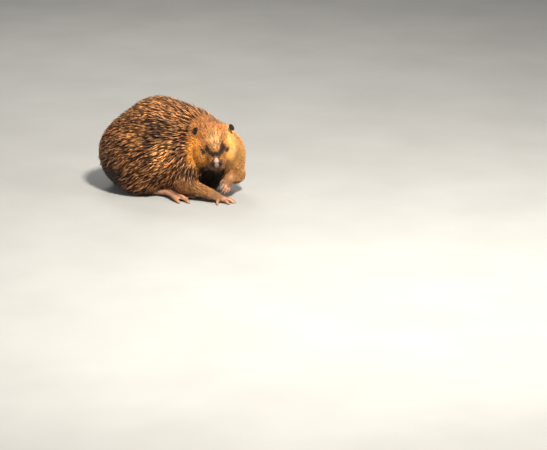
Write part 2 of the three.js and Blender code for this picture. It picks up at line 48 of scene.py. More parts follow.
# ------------------------------------------------------------------ frames and landmarks, mm
BODY_YAW, BODY_AT = -20 * DEG, (-49, 40, 0)
HEAD_AT, HEAD_YAW, HEAD_PITCH, HEAD_ROLL = (151.5, -92, 189.5), -86.5 * DEG, 31 * DEG, 5.3 * DEG
EYE_R, EYE_PROUD = 7.2, 2.6
EYE_LOCAL = (38, 37.5, 17)
EAR_LOCAL = (-35, 60, 45)
ELBOW_R, WRIST_R = (46, -92, 56), (140, -130, 26)
SHOULDER_L, ELBOW_L, WRIST_L = (196, 8, 160), (226, -12, 66), (204, -96, 74)
TAIL_LENGTH, TAIL_WIDTH, TAIL_THICK = 268, 116, 19
TAIL_ROOT = (-176, 226, 17)


def vec(*a):
    return np.array(a, dtype=float)


def unit(v):
    v = np.asarray(v, float)
    return v / np.linalg.norm(v)


class Frame:
    """A place with its own x, y and z."""

    def __init__(self, at, yaw=0.0, pitch=0.0, roll=0.0):
        c, s = math.cos(pitch), math.sin(pitch)
        x = vec(math.cos(yaw) * c, math.sin(yaw) * c, -s)
        z0 = vec(math.cos(yaw) * s, math.sin(yaw) * s, c)
        y = np.cross(z0, x) * math.cos(roll) + z0 * math.sin(roll)
        self.at, self.m = np.asarray(at, float), np.array([x, y, np.cross(x, y)])

    def world(self, p):
        return np.asarray(p, float) @ self.m + self.at

    def local(self, p):
        return (np.asarray(p) - self.at.astype(F)) @ self.m.T.astype(F)

    def turn(self, v):
        return np.asarray(v, float) @ self.m


BODY = Frame(BODY_AT, BODY_YAW)
HEAD = Frame(HEAD_AT, HEAD_YAW, HEAD_PITCH, HEAD_ROLL)
WORLD = Frame((0, 0, 0))


# ------------------------------------------------------------------ distance fields
def smin(a, b, k):
    if k <= 0:
        return np.minimum(a, b)
    h = np.maximum(k - np.abs(a - b), 0) / F(k)
    return np.minimum(a, b) - h * h * F(k * 0.25)


def smax(a, b, k):
    return -smin(-a, -b, k)


def ell(fr, centre, radii, pitch=0.0):
    """An ellipsoid in a frame, turned about the frame's y."""
    c = fr.world(centre).astype(F)
    t = pitch * DEG
    ax = fr.m[0] * math.cos(t) - fr.m[2] * math.sin(t)
    az = fr.m[0] * math.sin(t) + fr.m[2] * math.cos(t)
    m = np.array([ax, fr.m[1], az]).T.astype(F)
    r = np.asarray(radii, F)

    def f(p):
        q = ((p - c) @ m) / r
        k0 = np.sqrt((q * q).sum(1))
        q /= r
        k1 = np.sqrt((q * q).sum(1)) + F(1e-9)
        return k0 * (k0 - 1) / k1

    return f


def cone(a, b, ra, rb):
    """A limb from a to b with a radius at each end."""
    a, b = np.asarray(a, F), np.asarray(b, F)
    ab = b - a
    l2 = F(max(float(ab @ ab), 1e-9))

    def f(p):
        d = p - a
        t = np.clip((d @ ab) / l2, 0, 1)
        d -= t[:, None] * ab
        return np.sqrt((d * d).sum(1)) - (F(ra) + F(rb - ra) * t)

    return f


B, H, W = BODY, HEAD, WORLD
back, down = -B.m[0], vec(0, 0, -1)
hback = -H.m[0]
# Each shape with the way the hair on it lies: (blend, shape, lie)
BODY_SHAPES = [
    (0, ell(B, (-72, 0, 128), (138, 136, 138)), back + 0.42 * down),  # rump
    (48, ell(B, (10, 0, 162), (148, 146, 174)), back + 0.16 * down),  # back
    (48, ell(B, (104, 6, 168), (108, 114, 138)), back + 0.12 * down),  # withers
    (30, ell(B, (60, 0, 78), (140, 100, 64)), back + 0.1 * down),  # belly
    (20, ell(B, (-40, -94, 116), (102, 60, 116), -16), 0.8 * back + 0.62 * down),  # right haunch
    (20, ell(B, (-40, 94, 116), (102, 60, 116), -16), 0.8 * back + 0.62 * down),  # left haunch
    (24, ell(B, (98, -70, 130), (60, 50, 92)), 0.5 * back + 0.95 * down),  # right shoulder
    (22, cone((62, -76, 108), ELBOW_R, 44, 37), vec(-0.15, -0.15, -1)),  # right upper arm
    (44, cone((104, 2, 208), (148, -40, 206), 72, 58), 0.85 * back + 0.35 * hback),  # neck
    (34, ell(W, (196, -8, 140), (63, 70, 82)), vec(0.2, 0.42, -0.8)),  # left side of the neck and shoulder
    (24, cone(SHOULDER_L, ELBOW_L, 45, 34), vec(0.15, 0.12, -1)),  # left upper arm
    (30, cone((120, -36, 112), (156, -50, 112), 60, 48), vec(-0.3, 0, -1)),  # chest
    (24, ell(W, (128, -12, 61), (50, 50, 60)), vec(-0.2, 0, -1)),  # breast, down on the ground
    (24, ell(W, (214, -44, 142), (40, 50, 62)), vec(0.28, 0.4, -0.75)),  # left side of the ruff
    (40, ell(B, (178, 70, 138), (86, 62, 104)), 0.9 * back + 0.5 * down),  # left side, trunk to shoulder
    (30, cone((-146, 92, 66), (-172, 150, 40), 48, 37), vec(-0.25, 0.95, -0.3)),  # root of the tail
    (10, cone((-172, 150, 40), TAIL_ROOT, 37, 22), vec(-0.05, 1, -0.1)),  # furred base of the tail
]
ARM_SHAPES = [
    (16, cone(ELBOW_R, WRIST_R, 31, 19), vec(*WRIST_R) - vec(*ELBOW_R)),
    (14, cone(ELBOW_L, WRIST_L, 30, 19), vec(*WRIST_L) - vec(*ELBOW_L)),
]


def hcone(a, b, ra, rb):
    return cone(H.world(a), H.world(b), ra, rb)


HEAD_SHAPES = [
    (0, ell(H, (-24, 0, 8), (60, 60, 50)), (-1, 0, 0)),  # cranium
    (20, ell(H, (-44, 0, 6), (50, 70, 50)), (-1, 0, 0)),  # nape
    (24, ell(H, (14, 0, 10), (52, 45, 37)), (-1, 0, 0)),  # brow
    (18, hcone((28, 0, -2), (60, 0, -10), 38, 27), (-1, 0, 0)),  # muzzle
    (20, ell(H, (3, -44, -20), (52, 34, 42)), (-0.85, -0.4, -0.3)),  # right cheek
    (20, ell(H, (3, 44, -20), (52, 34, 42)), (-0.85, 0.4, -0.3)),  # left cheek
    (16, hcone((-8, 0, -34), (57, 0, -54), 37, 18), (-1, 0, -0.35)),  # jaw
    (8, hcone((58, -14, -24), (67, -13, -30), 19, 16), (-0.8, -0.5, -0.5)),  # right lip pad
    (8, hcone((58, 14, -24), (67, 13, -30), 19, 16), (-0.8, 0.5, -0.5)),  # left lip pad
]
HEAD_BLEND = 22


def union(shapes, p):
    d = None
    for k, f, _ in shapes:
        d = f(p) if d is None else smin(d, f(p), k)
    return d


def head_field(p):
    return union(HEAD_SHAPES, p)


def envelope(p):
    d = smin(union(BODY_SHAPES, p), head_field(p), HEAD_BLEND)
    for k, f, _ in ARM_SHAPES:
        d = smin(d, f(p), k)
    return d


def step(a, b, x):
    """0 at a, 1 at b, smooth between them."""
    t = np.clip((x - a) / (b - a), 0, 1)
    return t * t * (3 - 2 * t)


def along(a, b, p):
    """How far p is from a (0) to b (1)."""
    a, b = np.asarray(a, F), np.asarray(b, F)
    ab = b - a
    return ((p - a) @ ab) / F(float(ab @ ab))


arm_r, arm_l = ARM_SHAPES[0][1], ARM_SHAPES[1][1]
lowtail = BODY_SHAPES[-1][1]


def plush_at(p):
    """Where the fine golden plush is: the left side of the neck and the shoulder."""
    return step(178, 204, p[:, 0]) * step(24, 66, p[:, 2]) * step(100, 20, p[:, 1])


def lay(p):
    """What the coat does at p: how deep it is and how long its locks are, in mm, and where the head and arms are."""
    q = HEAD.local(p)
    hf = head_field(p)
    wh = step(24, 2, hf)
    x, y, z = q[:, 0], np.abs(q[:, 1]), q[:, 2]
    # the head: shortest on the muzzle, longer on crown and cheeks
    muz = step(14, 56, x)
    cheek = step(20, 46, y) * step(14, -14, z) * step(56, 22, x)
    far = step(-30, -74, x)
    hd = (7.5 - 5.9 * muz) + 4.5 * cheek + 3.5 * far
    hl = (15 - 8.0 * muz) + 9 * cheek + 9 * far
    low = step(60, 8, p[:, 2])
    bd = 13.0 - 4.5 * low
    bl = 38.0 - 9 * low
    # finer plush on the left side of the neck and the shoulder
    plush = plush_at(p)
    bd = bd - 4.5 * plush
    bl = bl - 21 * plush
    hd = hd + (8.0 - hd) * plush * (1 - muz)
    hl = hl + (16.0 - hl) * plush * (1 - muz)
    # short hair round the eyes
    for e in EYES.values():
        w = step(19, 8, np.sqrt(((p - e.astype(F)) ** 2).sum(1)))
        hd = hd * (1 - 0.4 * w)
        hl = hl * (1 - 0.5 * w)
    for f, a, b in ((arm_r, ELBOW_R, WRIST_R), (arm_l, ELBOW_L, WRIST_L)):
        w = step(14, 3, f(p))
        t = np.clip(along(a, b, p), 0, 1)
        bd = bd * (1 - w) + w * (9.0 - 6.6 * t)
        bl = bl * (1 - w) + w * (21 - 13 * t)
    w = step(16, 3, lowtail(p))
    t = step(150, 226, p[:, 1])
    bd = bd * (1 - w) + w * (9.5 - 7.5 * t)
    bl = bl * (1 - w) + w * (24 - 16 * t)
    return bd + (hd - bd) * wh, bl + (hl - bl) * wh, wh, q


# ------------------------------------------------------------------ feet
HIND_R = [
    [(-8, -34, 15), (20, -35, 13), (42, -38, 8), (56, -40, 4.4)],
    [(-6, -42, 21), (26, -48, 19), (52, -54, 12), (72, -57, 5)],
    [(-4, -52, 24), (25, -68, 23), (55, -84, 16), (75, -91, 6)],
    [(-10, -60, 22), (16, -88, 21), (42, -121, 13), (57, -143, 5)],
    [(-20, -66, 18), (-1, -98, 17), (14, -128, 11), (24, -144, 5)],
]
INSTEP_R = [(-64, -18, 17), (-36, -40, 18), (-6, -56, 15)]
FORE_R = [
    [(166, -120, 11), (178, -114, 8), (186, -111, 4)],
    [(180, -130, 13), (202, -135, 11), (214, -139, 4.4)],
    [(180, -138, 13), (199, -146, 11), (211, -151, 4.4)],
    [(174, -146, 12), (188, -158, 10), (195, -165, 4.4)],
    [(160, -144, 12), (158, -162, 10), (157, -171, 4.2)],
]
FORE_L = [
    [(188, -108, 74), (179, -110, 70), (173, -112, 65)],
    [(190, -116, 70), (180, -126, 60), (174, -129, 51)],
    [(194, -118, 64), (185, -129, 51), (179, -132, 42)],
    [(199, -117, 59), (192, -127, 46), (187, -130, 37)],
    [(203, -112, 57), (200, -121, 45), (197, -124, 37)],
]
LEFT_BACK = 30


def across(p):
    """The same point on the other side of the body's middle plane, moved back along it."""
    d = (np.asarray(p, float) - BODY.at) @ BODY.m.T
    return BODY.world((d[0] - LEFT_BACK, -d[1], d[2]))


HIND_L = [[across(p) for p in toe] for toe in HIND_R]
INSTEP_L = [across(p) for p in INSTEP_R]


def spline(points, n):
    """n + 1 points of a Catmull-Rom curve through the points."""
    P = np.asarray(points, float)
    P = np.vstack([2 * P[0] - P[1], P, 2 * P[-1] - P[-2]])
    out = []
    m = len(P) - 3
    for i in range(n + 1):
        t = i / n * m
        k = min(int(t), m - 1)
        u = t - k
        a, b, c, d = P[k : k + 4]
        out.append(0.5 * (2 * b + (c - a) * u + (2 * a - 5 * b + 4 * c - d) * u * u + (3 * b - a - 3 * c + d) * u**3))
    return np.array(out)


def triangle(a, b, c):
    """Unsigned distance to a triangle."""
    a, b, c = (np.asarray(x, F) for x in (a, b, c))
    ba, cb, ac = b - a, c - b, a - c
    n = np.cross(ba, ac).astype(F)

    def seg(d, e):
        t = np.clip((d @ e) / F(e @ e), 0, 1)
        g = d - t[:, None] * e
        return (g * g).sum(1)

    def f(p):
        pa, pb, pc = p - a, p - b, p - c
        inside = (
            np.sign(pa @ np.cross(ba, n)) + np.sign(pb @ np.cross(cb, n)) + np.sign(pc @ np.cross(ac, n))
        ) < 2
        edge = np.minimum(np.minimum(seg(pa, ba), seg(pb, cb)), seg(pc, ac))
        plane = (pa @ n) ** 2 / F(n @ n)
        return np.sqrt(np.where(inside, edge, plane))

    return f


def toe_parts(toe, r, n=6):
    """The capsules of one toe, thicker at its knuckles and pad."""
    pts = spline(toe, n)
    t = np.linspace(0, 1, n + 1)
    rad = r * (1.1 - 0.3 * t) * (1 + 0.09 * np.cos(2 * math.pi * (t * 2.2 - 0.25)))
    return [cone(pts[i], pts[i + 1], rad[i], rad[i + 1]) for i in range(n)]


def foot_field(root, toes, radii, spread, r_root, r_ball, webs=None):
    """Metatarsals from the root to each toe, the toes, and the webs between them."""
    bones, digits, web = [], [], []
    root = np.asarray(root, float)
    side = unit(np.cross(np.asarray(toes[2][0], float) - root, (0, 0, 1)))
    for i, toe in enumerate(toes):
        a = root + side * spread * (i - 2) / 2
        bones.append(cone(a, toe[0], r_root, max(radii[i] * 1.16, r_ball)))
        digits += toe_parts(toe, radii[i])
    if webs is not None:
        for i in range(len(toes) - 1):
            pa, pb = spline(toes[i], 8), spline(toes[i + 1], 8)
            pa[:, 2] -= 1.2
            pb[:, 2] -= 1.2
            n, cols = 4, 4

            def at(u, v):
                w = (0.1 + u * (0.86 - webs[i] * 4 * v * (1 - v))) * 8
                k = min(int(w), 7)
                qa = pa[k] + (pa[k + 1] - pa[k]) * (w - k)
                qb = pb[k] + (pb[k + 1] - pb[k]) * (w - k)
                q = qa + (qb - qa) * v
                q[2] = max(1.9, q[2] - 3.2 * v * (1 - v))
                return q

            for s in range(n):
                for t in range(cols):
                    q = [at((s + ds) / n, (t + dt) / cols) for ds, dt in ((0, 0), (1, 0), (1, 1), (0, 1))]
                    web.append(triangle(q[0], q[1], q[2]))
                    web.append(triangle(q[0], q[2], q[3]))

    def f(p):
        d = bones[0](p)
        for g in bones[1:]:
            d = smin(d, g(p), 5)
        e = digits[0](p)
        for g in digits[1:]:
            e = np.minimum(e, g(p))
        d = smin(d, e, 3)
        if web:
            w = web[0](p)
            for g in web[1:]:
                w = np.minimum(w, g(p))
            d = smin(d, w - F(1.5), 3)
        return d

    pts = np.vstack([np.asarray(t, float) for t in toes] + [root[None]])
    return f, pts.min(0) - 26, pts.max(0) + 26


AXIS_R = unit(vec(*WRIST_R) - vec(*ELBOW_R))
AXIS_L = unit(vec(*WRIST_L) - vec(*ELBOW_L))
HR, FR = (6, 6.8, 7.2, 7.2, 6.6), (5, 5.6, 5.8, 5.6, 5.2)
WEBS = (0.3, 0.22, 0.16, 0.34)
FEET = {
    "hindfoot_r": foot_field(np.asarray(INSTEP_R[0]) + (6, -5, 0), HIND_R, HR, 12, 14, 8.5, WEBS),
    "hindfoot_l": foot_field(np.asarray(INSTEP_L[0]) + (4, 3, 0), HIND_L, HR, 12, 14, 8.5, WEBS),
    "forefoot_r": foot_field(vec(*WRIST_R) - 6 * AXIS_R, FORE_R, FR, 9, 13, 6.4),
    "forefoot_l": foot_field(vec(*WRIST_L) - 6 * AXIS_L, FORE_L, (4.4, 4.9, 5.0, 4.8, 4.4), 9, 13, 5.2),
}


def crease(p):
    """How deep p lies between two digits, 0 to 1."""
    out = np.zeros(len(p), F)
    for toes, radii in ((HIND_R, HR), (HIND_L, HR), (FORE_R, FR), (FORE_L, FR)):
        pts = np.vstack([np.asarray(t, float) for t in toes])
        m = in_box(p, pts.min(0) - 16, pts.max(0) + 16)
        if not m.any():
            continue
        x = p[m]
        ds = []
        for toe, r in zip(toes, radii):
            e = None
            for g in toe_parts(toe, r, 4):
                v = g(x)
                e = v if e is None else np.minimum(e, v)
            ds.append(e)
        ds = np.sort(np.stack(ds), 0)
        out[m] = np.maximum(out[m], np.exp(-np.maximum(ds[1] - ds[0], 0) / F(1.4)) * step(5, 0, ds[1]))
    return out


def in_box(p, lo, hi):
    return ((p > lo.astype(F)) & (p < hi.astype(F))).all(1)


def feet_field(p):
    d = np.full(len(p), 40, F)
    for f, lo, hi in FEET.values():
        m = in_box(p, lo, hi)
        if m.any():
            d[m] = np.minimum(d[m], f(p[m]))
    return d


# ------------------------------------------------------------------ the eyes and the face
def eye_at(side):
    p = HEAD.world((EYE_LOCAL[0], side * EYE_LOCAL[1], EYE_LOCAL[2]))
    out = HEAD.m[1] * side * 0.75 + HEAD.m[2] * 0.66
    for _ in range(8):
        p = p - out * (float(head_field(p[None].astype(F))[0]) + EYE_R - EYE_PROUD)
    return p


EYES = {-1: eye_at(-1), 1: eye_at(1)}
lo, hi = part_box("eye_r")
OFF = (np.array(lo) + np.array(hi)) / 2 * 1000 - EYES[-1]  # from design mm to the row frame
lo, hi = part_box("eye_l")
OFF2 = (np.array(lo) + np.array(hi)) / 2 * 1000 - EYES[1]
print("offset", OFF.round(3), OFF2.round(3))
OFF[2] = 0.0

MOUTH = [(84, 0, -16), (85, 0, -28), (84, 7, -38), (78, 17, -43), (66, 27, -44), (50, 35, -42)]


def skin_field(p):
    """The skin: inside the coat's outside by the coat's depth, bare feet joined on."""
    depth, _, wh, q = lay(p)
    d = envelope(p) + depth
    near = wh > 0.5
    if near.any():
        pn, qn, dn = p[near], q[near], d[near]
        for s, c in EYES.items():
            # a hollow round the ball, which the lids fill, with a soft rim
            r = np.sqrt(((pn - c.astype(F)) ** 2).sum(1))
            out = unit(HEAD.m[1] * s * 0.75 + HEAD.m[2] * 0.66)
            fwd = unit(HEAD.m[0] - out * (HEAD.m[0] @ out))
            mound = smin(dn, cone(c - out * 5.5 - fwd * 7, c - out * 5.0 + fwd * 6, 12.0, 11.0)(pn), 9)
            dn = np.maximum(mound, dn - F(0.7))
            c2 = c + out * 7.2
            dn = smax(dn, -(np.sqrt(((pn - c2.astype(F)) ** 2).sum(1)) - F(5.6)), 2.0)
        # the seam of the mouth under the nose and back along the lips
        for s in (-1, 1):
            pts = [HEAD.world((a, s * b, c)) for a, b, c in MOUTH]
            g = None
            for a, b in zip(pts, pts[1:]):
                e = cone(a, b, 2.2, 2.2)(pn)
                g = e if g is None else np.minimum(g, e)
            dn = smax(dn, -g, 2)
        d[near] = dn
    d = smin(d, feet_field(p), 6)
    return np.maximum(d, F(0.35) - p[:, 2])


def gradient(f, p, e=0.6):
    g = np.empty_like(p)
    for i in range(3):
        a, b = p.copy(), p.copy()
        a[:, i] += e
        b[:, i] -= e
        g[:, i] = f(a) - f(b)
    return g / (np.sqrt((g * g).sum(1))[:, None] + F(1e-9))


# ------------------------------------------------------------------ meshing a field
def axis(start, *legs):
    out = [float(start)]
    for to, s in legs:
        n = max(1, round((to - out[-1]) / s))
        a = out[-1]
        out += [a + (to - a) * i / n for i in range(1, n + 1)]
    return np.array(out, F)


def sample(f, xs, ys, zs, reach=None):
    """f on the grid. With a reach, only where a coarse look says that the surface may be near."""
    shape = (len(xs), len(ys), len(zs))
    if reach is None:
        g = np.stack(np.meshgrid(xs, ys, zs, indexing="ij"), -1).reshape(-1, 3)
        return chunks(f, g).reshape(shape)
    n = 5
    ix, iy, iz = (np.unique(np.append(np.arange(0, len(a), n), len(a) - 1)) for a in (xs, ys, zs))
    cx, cy, cz = xs[ix], ys[iy], zs[iz]
    g = np.stack(np.meshgrid(cx, cy, cz, indexing="ij"), -1).reshape(-1, 3)
    c = chunks(f, g).reshape(len(cx), len(cy), len(cz))
    # spread the coarse value to the fine grid: the nearest coarse sample
    jx, jy, jz = (np.abs(a[:, None] - b[None]).argmin(1) for a, b in ((xs, cx), (ys, cy), (zs, cz)))
    v = c[np.ix_(jx, jy, jz)]
    near = np.abs(v) < reach
    idx = np.argwhere(near)
    pts = np.stack([xs[idx[:, 0]], ys[idx[:, 1]], zs[idx[:, 2]]], 1)
    v[near] = chunks(f, pts)
    return v


def chunks(f, p, n=400000):
    return np.concatenate([f(p[i : i + n]) for i in range(0, len(p), n)]) if len(p) else np.zeros(0, F)


def surface(f, xs, ys, zs, reach=None, relax=2):
    """Vertices and quads of f = 0 by surface nets, each vertex moved onto the surface."""
    v = sample(f, xs, ys, zs, reach)
    s = v < 0
    nx, ny, nz = v.shape
    corner = [s[a : nx - 1 + a, b : ny - 1 + b, c : nz - 1 + c] for a in (0, 1) for b in (0, 1) for c in (0, 1)]
    total = sum(x.astype(np.int8) for x in corner)
    cells = np.argwhere((total > 0) & (total < 8))
    index = np.full((nx - 1, ny - 1, nz - 1), -1, np.int32)
    index[cells[:, 0], cells[:, 1], cells[:, 2]] = np.arange(len(cells))
    acc = np.zeros((len(cells), 3), np.float64)
    cnt = np.zeros(len(cells))
    i, j, k = cells.T
    ax = (xs.astype(float), ys.astype(float), zs.astype(float))
    for d in range(3):
        for o1 in (0, 1):
            for o2 in (0, 1):
                off = [0, 0, 0]
                off[(d + 1) % 3], off[(d + 2) % 3] = o1, o2
                a = [i + off[0], j + off[1], k + off[2]]
                b = list(a)
                b[d] = b[d] + 1
                va, vb = v[tuple(a)].astype(float), v[tuple(b)].astype(float)
                cross = (va < 0) != (vb < 0)
                t = np.where(cross, va / np.where(cross, va - vb, 1), 0)
                for m in range(3):
                    pa, pb = ax[m][a[m]], ax[m][b[m]]
                    acc[:, m] += np.where(cross, pa + (pb - pa) * t, 0)
                cnt += cross
    P = (acc / cnt[:, None]).astype(F)
    lo = np.stack([xs[i], ys[j], zs[k]], 1)
    hi = np.stack([xs[i + 1], ys[j + 1], zs[k + 1]], 1)
    pad = (hi - lo) * F(0.03)
    for _ in range(relax):
        e = F(0.4)
        val = chunks(f, P)
        g = np.empty_like(P)
        for m in range(3):
            q = P.copy()
            q[:, m] += e
            g[:, m] = (chunks(f, q) - val) / e
        P = P - g * (val / np.maximum((g * g).sum(1), 0.3))[:, None]
        P = np.clip(P, lo + pad, hi - pad)
    quads = []
    for d in range(3):
        sl0 = [slice(1, n - 1) for n in v.shape]
        sl0[d] = slice(0, v.shape[d] - 1)
        sl1 = list(sl0)
        sl1[d] = slice(1, v.shape[d])
        a, b = s[tuple(sl0)], s[tuple(sl1)]
        e = np.argwhere(a != b)
        e0 = e.copy()
        for m in range(3):
            if m != d:
                e0[:, m] += 1
        flip = a[tuple(e.T)]
        m1, m2 = (d + 1) % 3, (d + 2) % 3

        def cell(o1, o2):
            c = e0.copy()
            c[:, m1] -= o1
            c[:, m2] -= o2
            return index[c[:, 0], c[:, 1], c[:, 2]]

        q = np.stack([cell(1, 1), cell(0, 1), cell(0, 0), cell(1, 0)], 1)
        q[~flip] = q[~flip][:, ::-1]
        quads.append(q)
    Q = np.concatenate(quads)
    assert (Q >= 0).all(), "the grid doesn't hold the whole shape"
    return P, Q


# ------------------------------------------------------------------ Blender meshes
def srgb(r, g, b):
    c = np.array([r, g, b], float) / 255
    return np.where(c <= 0.04045, c / 12.92, ((c + 0.055) / 1.055) ** 2.4)


def make(name, verts, faces, mats, slot, colors=None, uv=None, smooth=True, extra=None, place=True):
    """A mesh object from design millimetres and a face array (or a list of face arrays)."""
    V = np.asarray(verts, np.float64)
    if place:
        V = (V + OFF) / 1000
    faces = faces if isinstance(faces, list) else [faces]
    faces = [np.asarray(f) for f in faces if len(f)]
    me = bpy.data.meshes.new(name)
    me.vertices.add(len(V))
    me.vertices.foreach_set("co", V.astype(F).ravel())
    loops = np.concatenate([f.ravel() for f in faces]).astype(np.int32)
    sizes = np.concatenate([np.full(len(f), f.shape[1], np.int32) for f in faces])
    starts = np.concatenate([[0], np.cumsum(sizes)[:-1]]).astype(np.int32)
    me.loops.add(len(loops))
    me.loops.foreach_set("vertex_index", loops)
    me.polygons.add(len(sizes))
    me.polygons.foreach_set("loop_start", starts)
    me.polygons.foreach_set("use_smooth", np.full(len(sizes), smooth))
    if uv is not None:
        layer = me.uv_layers.new(name="OFBake")
        layer.data.foreach_set("uv", np.asarray(uv, F)[loops].ravel())
    if colors is not None:
        a = me.color_attributes.new("tone", "FLOAT_COLOR", "POINT")
        c = np.ones((len(V), 4), F)
        c[:, :3] = colors
        a.data.foreach_set("color", c.ravel())
    for key, val in (extra or {}).items():
        a = me.attributes.new(key, "FLOAT", "POINT")
        a.data.foreach_set("value", np.asarray(val, F).ravel())
    me.update(calc_edges=True)
    me.validate(clean_customdata=False)
    o = bpy.data.objects.new(name, me)
    bpy.context.scene.collection.objects.link(o)
    for m in mats if isinstance(mats, (list, tuple)) else [mats]:
        me.materials.append(m)
    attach(o, "root")
    return o


class Nodes:
    """A small helper for building a material's nodes."""

    def __init__(self, name):
        self.mat = bpy.data.materials.new(name)
        self.mat.use_nodes = True
        self.t = self.mat.node_tree
        self.t.nodes.clear()
        self.out = self.t.nodes.new("ShaderNodeOutputMaterial")
        self.bsdf = self.t.nodes.new("ShaderNodeBsdfPrincipled")
        self.t.links.new(self.bsdf.outputs[0], self.out.inputs[0])
        self.coord = self.t.nodes.new("ShaderNodeTexCoord").outputs["Object"]

    def new(self, kind, **sets):
        n = self.t.nodes.new(kind)
        for k, v in sets.items():
            if hasattr(n, k) and k not in n.inputs:
                setattr(n, k, v)
            else:
                n.inputs[k.replace("_", " ")].default_value = v
        return n

    def link(self, a, b):
        self.t.links.new(a, b)

    def set(self, **sets):
        for k, v in sets.items():
            self.bsdf.inputs[k.replace("_", " ")].default_value = v

    def attr(self, name, kind="Color"):
        n = self.t.nodes.new("ShaderNodeAttribute")
        n.attribute_name = name
        return n.outputs[kind]

    def noise(self, scale, detail=4, rough=0.55, stretch=None):
        src = self.coord
        if stretch:
            m = self.t.nodes.new("ShaderNodeMapping")
            m.inputs["Scale"].default_value = stretch
            self.link(self.coord, m.inputs[0])
            src = m.outputs[0]
        n = self.t.nodes.new("ShaderNodeTexNoise")
        n.inputs["Scale"].default_value = scale
        n.inputs["Detail"].default_value = detail
        n.inputs["Roughness"].default_value = rough
        self.link(src, n.inputs["Vector"])
        return n.outputs["Fac"]

    def voronoi(self, scale, feature="DISTANCE_TO_EDGE", stretch=None):
        src = self.coord
        if stretch:
            m = self.t.nodes.new("ShaderNodeMapping")
            m.inputs["Scale"].default_value = stretch
            self.link(self.coord, m.inputs[0])
            src = m.outputs[0]
        n = self.t.nodes.new("ShaderNodeTexVoronoi")
        n.feature = feature
        n.inputs["Scale"].default_value = scale
        self.link(src, n.inputs["Vector"])
        return n.outputs["Distance"]

    def ramp(self, fac, stops):
        n = self.t.nodes.new("ShaderNodeValToRGB")
        self.link(fac, n.inputs[0])
        e = n.color_ramp.elements
        while len(e) < len(stops):
            e.new(0.5)
        for el, (pos, col) in zip(e, stops):
            el.position = pos
            el.color = (*col, 1) if len(col) == 3 else col
        return n.outputs["Color"]

    def mix(self, a, b, fac, blend="MIX"):
        n = self.t.nodes.new("ShaderNodeMix")
        n.data_type = "RGBA"
        n.blend_type = blend
        for sock, val in ((n.inputs["Factor"], fac), (n.inputs["A"], a), (n.inputs["B"], b)):
            pass
        ins = {"f": n.inputs[0], "a": n.inputs[6], "b": n.inputs[7]}
        for key, val in (("f", fac), ("a", a), ("b", b)):
            if isinstance(val, bpy.types.NodeSocket):
                self.link(val, ins[key])
            elif key == "f":
                ins[key].default_value = val
            else:
                ins[key].default_value = (*val, 1) if len(val) == 3 else val
        return n.outputs[2]

    def math(self, op, a, b=None):
        n = self.t.nodes.new("ShaderNodeMath")
        n.operation = op
        for i, val in enumerate((a, b)):
            if val is None:
                continue
            if isinstance(val, bpy.types.NodeSocket):
                self.link(val, n.inputs[i])
            else:
                n.inputs[i].default_value = val
        return n.outputs[0]

    def bump(self, height, strength, distance, normal=None):
        n = self.t.nodes.new("ShaderNodeBump")
        n.inputs["Strength"].default_value = strength
        n.inputs["Distance"].default_value = distance
        self.link(height, n.inputs["Height"])
        if normal is not None:
            self.link(normal, n.inputs["Normal"])
        return n.outputs[0]

    def base(self, sock):
        self.link(sock, self.bsdf.inputs["Base Color"])

    def normal(self, sock):
        self.link(sock, self.bsdf.inputs["Normal"])

    def rough(self, sock):
        self.link(sock, self.bsdf.inputs["Roughness"])


# ------------------------------------------------------------------ colours
def wobble(p, size, seed=0.0):
    """Smooth noise from -1 to 1 with features about size mm across."""
    q = p.astype(F) * F(2 * math.pi / size)
    s = F(seed)
    a = np.sin(q[:, 0] * 0.83 + q[:, 1] * 0.41 + q[:, 2] * 0.37 + s)
    b = np.sin(-q[:, 0] * 0.45 + q[:, 1] * 0.87 - q[:, 2] * 0.29 + 2.1 * s + 1.7)
    c = np.sin(q[:, 0] * 0.31 - q[:, 1] * 0.52 + q[:, 2] * 0.91 + 3.3 * s + 0.4)
    d = np.sin(q[:, 0] * 1.7 + q[:, 1] * 1.3 + q[:, 2] * 1.9 + 1.1 * s + a)
    return (a * b + c * b + a * c + d * 0.8) / F(2.6)


BROWN, UMBER, GOLD = srgb(122, 74, 50), srgb(46, 27, 21), srgb(255, 182, 80)
PLUSH, JAW_SHADE, EYE_GROOVE_SHADE = srgb(255, 204, 126), srgb(100, 72, 50), srgb(44, 26, 18)
BROW_LIGHT, LEG = srgb(222, 174, 124), srgb(136, 92, 62)
TAN = srgb(238, 184, 118)


def over(c, col, w):
    return c + (col - c) * w[:, None]


def ball(p, at, r0, r1):
    """1 inside r1 of a place, 0 outside r0."""
    return step(r0, r1, np.sqrt(((p - np.asarray(at, F)) ** 2).sum(1)))


def blob(q, at, radii):
    """Like ball, on an ellipsoid: 1 within half of its radii."""
    d = (q - np.asarray(at, F)) / np.asarray(radii, F)
    return step(1.0, 0.5, np.sqrt((d * d).sum(1)))


def sides(q, at, radii):
    """The same on both sides of the head."""
    m = q.copy()
    m[:, 1] = np.abs(m[:, 1])
    return blob(m, at, radii)


